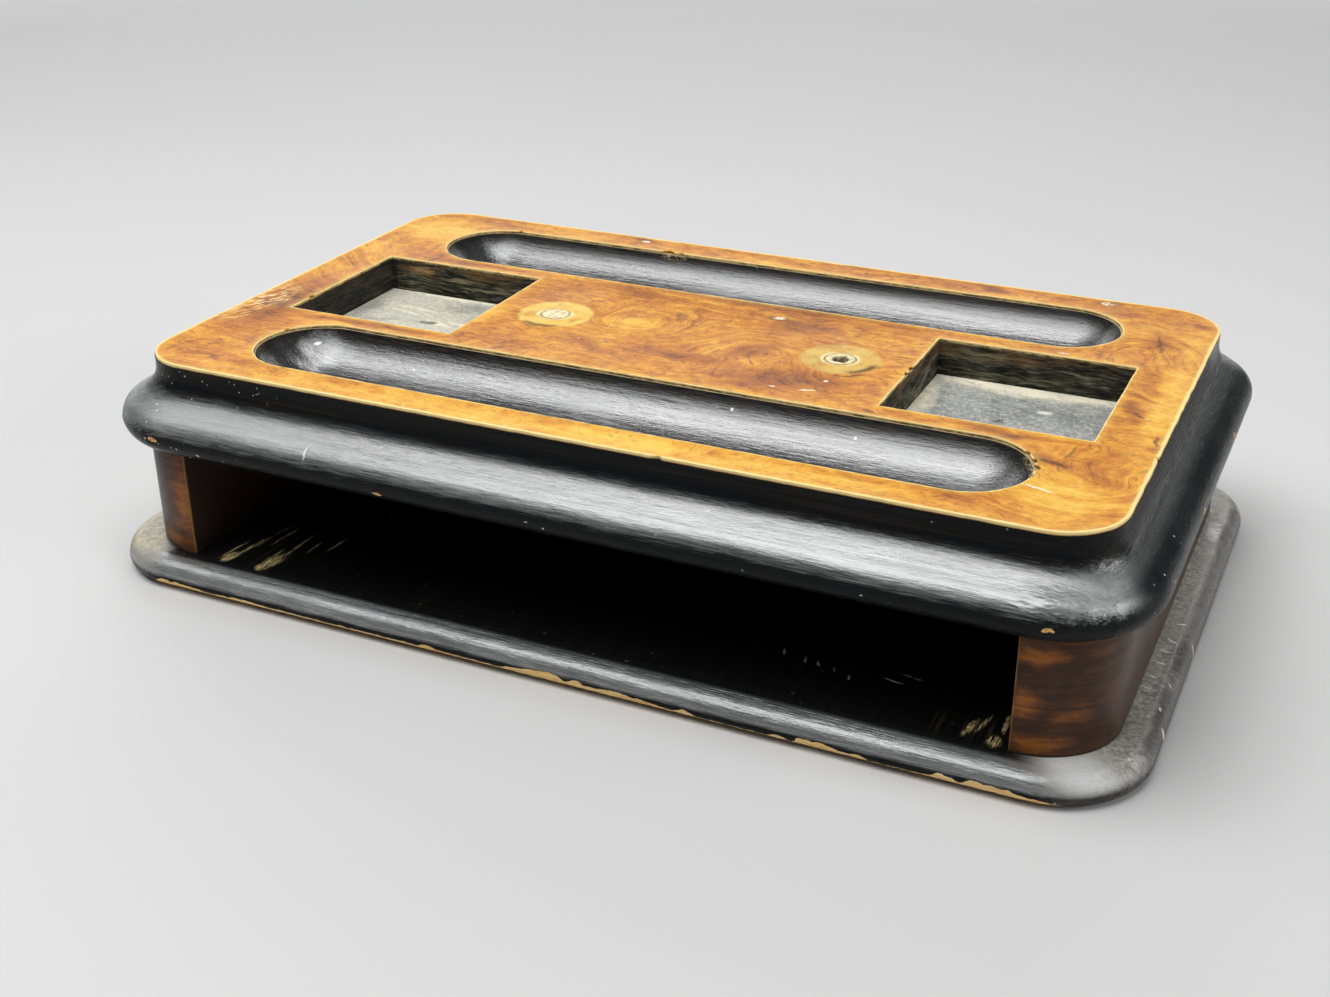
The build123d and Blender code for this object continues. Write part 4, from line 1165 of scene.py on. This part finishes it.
def burr_veneer(sizes, finish):
    """The top veneer, one sheet, with its edges strayed, chipped and rubbed round."""
    shape = bmesh.new()
    half_field = (HALF_LENGTH - sizes.outline_wander, HALF_DEPTH - sizes.outline_wander)
    loops = [((0, 0), half_field, FIELD_RADIUS, sizes.corner_steps, -1)]
    for side in (-1, 1):
        loops.append(((0, side * TROUGH_OFFSET), (TROUGH_LENGTH / 2, TROUGH_WIDTH / 2),
                      TROUGH_WIDTH / 2 - 0.01 * MM, 24, 1))
        loops.append(((side * WELL_OFFSET, 0), (WELL_LENGTH / 2, WELL_WIDTH / 2), 0.5 * MM, 2, 1))
        loops.append(((side * PLUG_OFFSET, 0), (PLUG_HOLE_RADIUS,) * 2, PLUG_HOLE_RADIUS - 0.01 * MM, 8, 1))
    area = 0.0
    for centre, half, radius, steps, inward in loops:
        outline = ragged_outline(sizes, centre, half, radius, steps)
        run = max(0.0, half[0] - half[1])
        core = Vector((centre[0], centre[1], TOP_FACE))
        bite(outline, lambda co: Vector((max(min(co.x, core.x + run), core.x - run), core.y, co.z)), inward)
        area -= inward * enclosed(outline)
        mesh = bpy.data.meshes.new("outline")
        outline.to_mesh(mesh)
        outline.free()
        shape.from_mesh(mesh)
        bpy.data.meshes.remove(mesh)
    fill(shape, area)
    middle = (TOP_FACE + VENEER_BOTTOM) / 2
    top = list(shape.faces)
    copied = bmesh.ops.duplicate(shape, geom=list(shape.verts) + list(shape.edges) + top)["geom"]
    for vert in [g for g in copied if isinstance(g, bmesh.types.BMVert)]:
        vert.co.z = VENEER_BOTTOM
    # Two narrow insets carry the rounding of the rubbed arris.
    rim = {v for e in loose_ends(shape) for v in e.verts if v.co.z > middle}
    for share, drop in ((0.35, 0.40), (0.65, 0.12)):
        bmesh.ops.inset_region(
            shape, faces=top, thickness=sizes.arris_round * share, use_boundary=True, use_even_offset=False
        )
        for vert in rim:
            vert.co.z -= sizes.arris_round * drop
        kept = set(top)
        rim = {v for f in top for e in f.edges if not kept.issuperset(e.link_faces) for v in e.verts}
    edges = [e for e in loose_ends(shape) if e.verts[0].co.z > middle]
    skirt = bmesh.ops.extrude_edge_only(shape, edges=edges)
    for vert in [g for g in skirt["geom"] if isinstance(g, bmesh.types.BMVert)]:
        vert.co.z = VENEER_BOTTOM
    tidy(shape)
    if loose_ends(shape):
        raise RuntimeError("the veneer's edges don't meet")
    return make_piece("burr_veneer", shape, finish, ["top_veneer"])


# ---- The mouldings -------------------------------------------------------------
def moulding(sizes, side_name, turn, half_length, half_depth, finish):
    """One mitred length: fillet, hollow, slope and round nose, with half a corner at each end."""
    shape = bmesh.new()
    start = -(half_length - FIELD_RADIUS)
    front = -half_depth
    down, out = sin(SLOPE), cos(SLOPE)
    fillet_end = TOP_FACE - FILLET_HEIGHT
    nose_mid = (front - (NOSE_REACH - NOSE_RADIUS), TOP_BOTTOM + NOSE_RADIUS)
    drop = fillet_end - (nose_mid[1] + NOSE_RADIUS * out)
    hollow = (drop * out - (NOSE_REACH - NOSE_RADIUS + NOSE_RADIUS * down) * down) / (1 - down)
    pen = Pen(shape, (start, front + LAND, TOP_BOTTOM))
    pen.run((start, front + LAND, VENEER_BOTTOM))
    pen.run((start, front, VENEER_BOTTOM))
    pen.run((start, front, fillet_end), 3)
    pen.arc((start, front - hollow, fillet_end), SLOPE - pi / 2, 10)
    pen.run((start, nose_mid[0] - NOSE_RADIUS * down, nose_mid[1] + NOSE_RADIUS * out), 8)
    pen.arc((start, nose_mid[0], nose_mid[1]), pi - SLOPE, 20)
    pen.run((start, front + LAND, TOP_BOTTOM), 5)
    tidy(shape)
    chain = list(shape.verts) + list(shape.edges)
    corner = FIELD_RADIUS + front
    run = -2 * start
    half_corner = sizes.corner_steps // 2
    bmesh.ops.rotate(shape, verts=shape.verts, cent=(start, corner, 0),
                     matrix=Matrix.Rotation(-pi / 4, 3, "Z"))
    carry(shape, chain, (
        (STILL, (start, corner, 0), pi / 4, half_corner),
        ((run, 0, 0), STILL, 0, round(run / sizes.moulding_step)),
        (STILL, (-start, corner, 0), pi / 4, half_corner),
    ))
    # The moulding's inner wall meets the square board, so its corners are square too.
    reach = FIELD_RADIUS - LAND
    for vert in shape.verts:
        away_x = abs(vert.co.x) + start
        away_y = corner - vert.co.y
        if away_x > 0 and (away_x ** 2 + away_y ** 2) ** 0.5 < reach * 1.01:
            scale = reach / max(away_x, away_y)
            vert.co.x = (away_x * scale - start) * (1 if vert.co.x > 0 else -1)
            vert.co.y = corner - away_y * scale
    bmesh.ops.holes_fill(shape, edges=loose_ends(shape), sides=0)
    tidy(shape)
    bmesh.ops.rotate(shape, verts=shape.verts, cent=STILL, matrix=Matrix.Rotation(turn, 3, "Z"))
    shape.normal_update()
    for vert in shape.verts:
        outside = max(abs(vert.co.x) - HALF_LENGTH, abs(vert.co.y) - HALF_DEPTH)
        corner_x = max(0.0, abs(vert.co.x) - (HALF_LENGTH - FIELD_RADIUS))
        corner_y = max(0.0, abs(vert.co.y) - (HALF_DEPTH - FIELD_RADIUS))
        off_mitre = abs(corner_x - corner_y) if corner_x > 0 and corner_y > 0 else 1.0
        ease = min(1.0, off_mitre / (3 * MM)) * min(1.0, max(0.0, outside) / (2 * MM))
        ease *= min(1.0, (vert.co.z - TOP_BOTTOM) / (2 * MM))
        lift = unevenness(vert.co, sizes.moulding_wave) - 0.8 * sizes.moulding_wave
        vert.co += vert.normal * lift * ease
    shape.normal_update()
    for place, radius, depth in MOULDING_CHIPS:
        chip(shape, place, radius, depth)
    name = "ebonised_moulding_" + side_name
    return make_piece(name, shape, finish, ["top_moulding_" + side_name], smooth=50)


# ---- The base ------------------------------------------------------------------
def arris_wear(x):
    """Height in metres of the bare wood above the base's bottom at x along the front."""
    for (start, low), (end, high) in zip(ARRIS_WEAR, ARRIS_WEAR[1:]):
        if start * MM <= x < end * MM:
            share = (x / MM - start) / (end - start)
            return (low + (high - low) * share * share * (3 - 2 * share)) * MM
    return 0.0


def nosed_base(sizes, finish):
    """The base board with its round nose, worn to bare wood along the lower front arris."""
    shape = bmesh.new()
    bare = shape.verts.layers.float.new("bare")
    start_x = -(BASE_HIGH.x - BASE_RADIUS)
    front = -BASE_HIGH.y
    pen = Pen(shape, (start_x, front + BASE_FLAT, BASE_TOP))
    pen.run((start_x, front + BASE_NOSE_RADIUS, BASE_TOP), 7)
    pen.arc((start_x, front + BASE_NOSE_RADIUS, BASE_TOP - BASE_NOSE_RADIUS), pi / 2, 12)
    low = BASE_TOP - BASE_NOSE_RADIUS - BASE_BOTTOM
    low_radius = (low ** 2 + BASE_UNDERCUT ** 2) / (2 * BASE_UNDERCUT)
    low_angle = 2 * BASE_UNDERCUT / low
    pen.arc((start_x, front + low_radius, BASE_TOP - BASE_NOSE_RADIUS), low_angle * 0.97, 9)
    pen.run((start_x, front + BASE_UNDERCUT, BASE_BOTTOM))
    pen.run((start_x, front + BASE_FLAT, BASE_BOTTOM), 12)
    chain = list(shape.verts) + list(shape.edges)
    side_run = 2 * (BASE_HIGH.y - BASE_RADIUS)
    front_run = -2 * start_x
    corner_y = BASE_HIGH.y - BASE_RADIUS
    quarter = sizes.corner_steps
    coarse = 3 * sizes.base_step
    carry(shape, chain, (
        ((front_run, 0, 0), STILL, 0, round(front_run / sizes.base_step)),
        (STILL, (-start_x, -corner_y, 0), pi / 2, quarter),
        ((0, side_run, 0), STILL, 0, round(side_run / coarse)),
        (STILL, (-start_x, corner_y, 0), pi / 2, quarter),
        ((-front_run, 0, 0), STILL, 0, round(front_run / coarse)),
        (STILL, (start_x, corner_y, 0), pi / 2, quarter),
        ((0, -side_run, 0), STILL, 0, round(side_run / coarse)),
        (STILL, (start_x, -corner_y, 0), pi / 2, quarter),
    ))
    bmesh.ops.remove_doubles(shape, verts=shape.verts, dist=0.01 * MM)
    bmesh.ops.holes_fill(shape, edges=loose_ends(shape), sides=0)
    bmesh.ops.recalc_face_normals(shape, faces=shape.faces)
    shape.normal_update()
    nose = [v for v in shape.verts if v.co.z < BASE_TOP - 0.05 * MM and v.co.z > BASE_BOTTOM + 0.05 * MM]
    for vert in nose:
        vert.co += vert.normal * (unevenness(vert.co, 0.12 * MM) - 0.10 * MM)
    for vert in shape.verts:
        wear = arris_wear(vert.co.x) if vert.co.y < front + 8 * MM else 0.0
        above = vert.co.z - BASE_BOTTOM
        if wear <= 0 or above > wear + 1.5 * MM:
            continue
        ragged = 1.2 * wear + 0.5 * MM * noise.noise(Vector((vert.co.x / (2.2 * MM), 4.0, 9.0)))
        vert[bare] = max(0.0, min(1.0, 0.5 + (ragged - above) / (1.0 * MM)))
        if above < ragged:
            splinter = 0.6 + 0.8 * noise.noise(Vector((vert.co.x / (1.4 * MM), above / (0.6 * MM), 2.0)))
            inward = sizes.arris_loss * splinter * min(1.0, (ragged - above) / (0.8 * MM))
            vert.co.y += inward * max(0.0, 1 - (vert.co.y - front) / (8 * MM))
            vert.co.z += 0.3 * inward if above < 0.3 * MM else 0.0
    return make_piece("nosed_base", shape, finish, ["base_board"], smooth=50)


# ---- The carcase and the small pieces -------------------------------------------
def eased_copy(sizes, node, name, finish):
    """A CAD part's shape with its sharp edges eased."""
    shape = bmesh.new()
    shape.from_mesh(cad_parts[node].data)
    bmesh.ops.remove_doubles(shape, verts=shape.verts, dist=0.002 * MM)
    bmesh.ops.dissolve_limit(shape, angle_limit=radians(0.4), verts=shape.verts, edges=shape.edges)
    sharp = [e for e in shape.edges if e.is_manifold and e.calc_face_angle() > radians(40)]
    bmesh.ops.bevel(
        shape, geom=sharp, offset=sizes.edge_ease, segments=2, profile=0.5, affect="EDGES",
        material=-1, clamp_overlap=True,
    )
    bmesh.ops.triangulate(shape, faces=[f for f in shape.faces if len(f.verts) > 4])
    return make_piece(name, shape, finish, [node], smooth=40)


def handle_plug(side, name, finish):
    """A plug of end grain, a little proud and ragged, solid or with the stud's hole."""
    shape = bmesh.new()
    centre = Vector((side * PLUG_OFFSET, 0, 0))
    bored = side > 0
    low, face = PLUG_LOW.z, TOP_FACE + PLUG_PROUD
    place = Matrix.Translation(centre + UP * low)
    bmesh.ops.create_circle(shape, cap_ends=False, radius=PLUG_RADIUS, segments=56, matrix=place)
    chain = list(shape.edges)
    inner = STUD_HOLE_RADIUS if bored else 0.35 * MM
    steps = ((PLUG_RADIUS, face - 0.5 * MM), (PLUG_RADIUS - 0.35 * MM, face - 0.08 * MM),
             (PLUG_RADIUS - 1.1 * MM, face), (PLUG_RADIUS * 0.66, face), (inner + 0.5 * MM, face - 0.05 * MM),
             (inner, face - (0.5 if bored else 0.1) * MM))
    if bored:
        steps += ((inner, face - 4 * MM), (inner, low))
    radius = PLUG_RADIUS
    for new_radius, height in steps:
        grown = bmesh.ops.extrude_edge_only(shape, edges=chain)["geom"]
        chain = [g for g in grown if isinstance(g, bmesh.types.BMEdge) and all(v in grown for v in g.verts)]
        for vert in [g for g in grown if isinstance(g, bmesh.types.BMVert)]:
            flat = (vert.co - centre) * (new_radius / radius)
            vert.co = Vector((centre.x + flat.x, flat.y, height))
        radius = new_radius
    tidy(shape)
    if not bored:
        bmesh.ops.holes_fill(shape, edges=loose_ends(shape), sides=0)
    tidy(shape)
    for vert in shape.verts:
        if vert.co.z > face - 1.2 * MM:
            stray = noise.noise_vector(vert.co / (1.3 * MM) + Vector((3 * side, 0, 0)))
            away = (vert.co - centre).to_2d().length
            crumbly = bored and away < STUD_HOLE_RADIUS + 0.9 * MM
            vert.co.z += (stray.z * 0.22 - 0.10) * MM * (1.6 if crumbly else 1.0)
            if away < PLUG_RADIUS - 0.2 * MM:
                reach = 0.45 * MM * (1.0 if crumbly else 0.35)
                vert.co.x += stray.x * reach
                vert.co.y += stray.y * reach
    node = "right_handle_plug" if bored else "left_handle_plug"
    return make_piece(name, shape, finish, [node], smooth=60)


def baize_sheet(sizes, finish):
    """The cloth glued under the base, with a frayed edge."""
    shape = bmesh.new()
    half = (LINING_HIGH.x - sizes.baize_fray, LINING_HIGH.y - sizes.baize_fray)
    place = Matrix.Diagonal((half[0], half[1], 1, 1))
    made = bmesh.ops.create_grid(shape, x_segments=1, y_segments=1, size=1, matrix=place)
    bmesh.ops.bevel(shape, geom=made["verts"], offset=LINING_RADIUS, segments=12, profile=0.5,
                    affect="VERTICES",
                    material=-1, clamp_overlap=False)
    bmesh.ops.delete(shape, geom=list(shape.faces), context="FACES_ONLY")
    for edge in list(shape.edges):
        cuts = int(edge.calc_length() / (1.6 * MM))
        if cuts > 0:
            bmesh.ops.subdivide_edges(shape, edges=[edge], cuts=cuts)
    for vert in shape.verts:
        stray = noise.noise_vector(vert.co / (2.3 * MM)) + 0.8 * noise.noise_vector(vert.co / (9 * MM))
        vert.co.x += stray.x * sizes.baize_fray * 0.55
        vert.co.y += stray.y * sizes.baize_fray * 0.55
        vert.co.z = LINING_LOW.z + LINING_GAP
    fill(shape, enclosed(shape))
    walls = bmesh.ops.extrude_face_region(shape, geom=list(shape.faces))
    for vert in [g for g in walls["geom"] if isinstance(g, bmesh.types.BMVert)]:
        vert.co.z = LINING_HIGH.z - LINING_GAP
    tidy(shape)
    piece = make_piece("baize_sheet", shape, finish, ["base_lining"])


# ---- Operators ------------------------------------------------------------------
class INKSTAND_OT_veneer(bpy.types.Operator):
    """Build the burr walnut veneer of the top"""

    bl_idname = "inkstand.veneer"
    bl_label = "Burr veneer"

    def execute(self, context):
        scene = context.scene
        burr_veneer(scene.inkstand_sizes, burr_walnut(scene.inkstand_colours))
        return {"FINISHED"}


class INKSTAND_OT_board(bpy.types.Operator):
    """Finish the top board, its troughs and its wells"""

    bl_idname = "inkstand.board"
    bl_label = "Top board and wells"

    def execute(self, context):
        tones = context.scene.inkstand_colours
        finish_node("top_board", carved_board(tones))
        panel = well_panel(tones)
        for node in ("left_well_floor", "right_well_floor"):
            finish_node(node, panel)
        return {"FINISHED"}


class INKSTAND_OT_plugs(bpy.types.Operator):
    """Build the plugs in the two holes of the lost handle"""

    bl_idname = "inkstand.plugs"
    bl_label = "Handle plugs"

    def execute(self, context):
        finish = plug_wood(context.scene.inkstand_colours)
        handle_plug(-1, "filled_handle_plug", finish)
        handle_plug(1, "bored_handle_plug", finish)
        return {"FINISHED"}


class INKSTAND_OT_mouldings(bpy.types.Operator):
    """Build the four mitred lengths of ebonised moulding"""

    bl_idname = "inkstand.mouldings"
    bl_label = "Top mouldings"

    def execute(self, context):
        scene = context.scene
        across = ebonised_moulding("ebonised_along_x", scene.inkstand_colours, True)
        deep = ebonised_moulding("ebonised_along_y", scene.inkstand_colours, False)
        lengths = (
            ("front", 0, HALF_LENGTH, HALF_DEPTH, across),
            ("right", pi / 2, HALF_DEPTH, HALF_LENGTH, deep),
            ("back", pi, HALF_LENGTH, HALF_DEPTH, across),
            ("left", -pi / 2, HALF_DEPTH, HALF_LENGTH, deep),
        )
        for side, turn, half_length, half_depth, finish in lengths:
            moulding(scene.inkstand_sizes, side, turn, half_length, half_depth, finish)
        return {"FINISHED"}


class INKSTAND_OT_base(bpy.types.Operator):
    """Build the base board, its screws and the baize under it"""

    bl_idname = "inkstand.base"
    bl_label = "Base"

    def execute(self, context):
        scene = context.scene
        sizes, tones = scene.inkstand_sizes, scene.inkstand_colours
        nosed_base(sizes, ebonised_base(tones))
        finish_node("base_screws", screw_steel(tones))
        baize_sheet(sizes, wool_baize(tones))
        return {"FINISHED"}


class INKSTAND_OT_carcase(bpy.types.Operator):
    """Build the ends, the back and the blocks inside the bay"""

    bl_idname = "inkstand.carcase"
    bl_label = "Carcase"

    def execute(self, context):
        scene = context.scene
        sizes, tones = scene.inkstand_sizes, scene.inkstand_colours
        stained = raw_wood("stained_wood", tones.stain, display(0.22, 0.13, 0.08), (34, 34, 1.6), 0.62)
        right_patches = (((135, -93, 38.0), (12, 12, 4.5), 0), ((132.5, -93, 23.4), (8, 12, 6.5), 0),
                         ((146.5, -93, 20.5), (9, 12, 4.4), 0), ((137, -93, 12.5), (16, 12, 4.4), 0))
        left_patches = (((-132, -93, 26), (12, 12, 28), 0), ((-137, -93, 13), (10, 12, 6), 0))
        for side, patches in (("left", left_patches), ("right", right_patches)):
            walnut = side_walnut("side_walnut_" + side, tones, patches)
            eased_copy(sizes, side + "_end", "carcase_end_" + side, stained)
            eased_copy(sizes, side + "_end_veneer", "side_veneer_" + side, walnut)
        finish_node("back_rail", stained)
        finish_node("back_veneer", side_walnut("side_walnut_back", tones, ()))
        deal = raw_wood("bare_deal", tones.deal, display(0.60, 0.43, 0.26), (1.2, 1.2, 20))
        finish_node("glue_blocks", deal)
        finish_node("drawer_stops", deal)
        return {"FINISHED"}


def lamp(name, place, size, energy, aim=(0, 0, 0.05)):
    """A rectangular studio light, aimed at a point."""
    light = bpy.data.lights.new(name, "AREA")
    light.shape = "RECTANGLE"
    light.size, light.size_y = size
    light.energy = energy
    holder = bpy.data.objects.new(name, light)
    holder.location = place
    holder.rotation_mode = "QUATERNION"
    holder.rotation_quaternion = (Vector(aim) - Vector(place)).to_track_quat("-Z", "Y")
    bpy.context.scene.collection.objects.link(holder)


class INKSTAND_OT_stage(bpy.types.Operator):
    """Set the floor, the lights and the camera"""

    bl_idname = "inkstand.stage"
    bl_label = "Stage"

    def execute(self, context):
        scene = context.scene
        shape = bmesh.new()
        bmesh.ops.create_grid(shape, x_segments=1, y_segments=1, size=5)
        mesh = bpy.data.meshes.new("studio_floor")
        shape.to_mesh(mesh)
        shape.free()
        floor = bpy.data.objects.new("studio_floor", mesh)
        mesh.materials.append(studio_floor(scene.inkstand_colours))
        scene.collection.objects.link(floor)

        lamp("overhead_softbox", (-0.16, -0.28, 1.0), (0.78, 0.90), 8.3)
        lamp("left_softbox", (-0.80, -0.08, 1.0), (0.50, 0.60), 2.6)
        lamp("right_softbox", (0.36, -0.20, 1.0), (0.20, 0.26), 0.9)
        lamp("back_panel", (-1.45, 2.8, 1.10), (4.4, 1.5), 72.0)
        lamp("side_fill", (1.5, 0.1, 0.62), (1.0, 0.7), 9.5, aim=(0.1, 0, 0.02))
        world = bpy.data.worlds.new("studio_air")
        world.use_nodes = True
        air = world.node_tree
        air.nodes["Background"].inputs["Color"].default_value = (1.0, 1.0, 1.0, 1.0)
        strength = air.nodes.new("ShaderNodeMapRange")
        strength.inputs["To Min"].default_value = 0.15
        strength.inputs["To Max"].default_value = 0.66
        air.links.new(air.nodes.new("ShaderNodeLightPath").outputs["Is Camera Ray"], strength.inputs["Value"])
        air.links.new(strength.outputs[0], air.nodes["Background"].inputs["Strength"])
        scene.world = world

        ahead = Vector((-sin(EYE_AZIMUTH) * cos(EYE_ELEVATION), cos(EYE_AZIMUTH) * cos(EYE_ELEVATION),
                        -sin(EYE_ELEVATION)))
        level = Vector((cos(EYE_AZIMUTH), sin(EYE_AZIMUTH), 0))
        rise = level.cross(ahead)
        right = cos(EYE_ROLL) * level + sin(EYE_ROLL) * rise
        upward = -sin(EYE_ROLL) * level + cos(EYE_ROLL) * rise
        camera = bpy.data.objects.new("camera", bpy.data.cameras.new("camera"))
        camera.data.lens = LENS
        camera.data.sensor_width = SENSOR
        camera.data.clip_start = 0.01
        camera.matrix_world = Matrix.Translation(EYE) @ Matrix((right, upward, -ahead)).transposed().to_4x4()
        scene.collection.objects.link(camera)
        scene.camera = camera
        scene.view_settings.view_transform = "Standard"
        return {"FINISHED"}


class INKSTAND_PT_build(bpy.types.Panel):
    """Lists the steps that build the inkstand"""

    bl_label = "Desk inkstand"
    bl_idname = "INKSTAND_PT_build"
    bl_space_type = "VIEW_3D"
    bl_region_type = "UI"
    bl_category = "Inkstand"

    def draw(self, context):
        for step in STEPS:
            self.layout.operator(step.bl_idname)
        for settings in (context.scene.inkstand_sizes, context.scene.inkstand_colours):
            for name in settings.__annotations__:
                self.layout.prop(settings, name)


STEPS = (INKSTAND_OT_stage, INKSTAND_OT_veneer, INKSTAND_OT_board, INKSTAND_OT_plugs, INKSTAND_OT_mouldings,
         INKSTAND_OT_base, INKSTAND_OT_carcase)
CLASSES = (InkstandSizes, InkstandColours) + STEPS + (INKSTAND_PT_build,)


def register():
    for cls in CLASSES:
        bpy.utils.register_class(cls)
    bpy.types.Scene.inkstand_sizes = PointerProperty(type=InkstandSizes)
    bpy.types.Scene.inkstand_colours = PointerProperty(type=InkstandColours)


def unregister():
    del bpy.types.Scene.inkstand_colours
    del bpy.types.Scene.inkstand_sizes
    for cls in reversed(CLASSES):
        bpy.utils.unregister_class(cls)


def main():
    register()
    for step in STEPS:
        group, name = step.bl_idname.split(".")
        getattr(getattr(bpy.ops, group), name)()


if __name__ == "__main__":
    main()
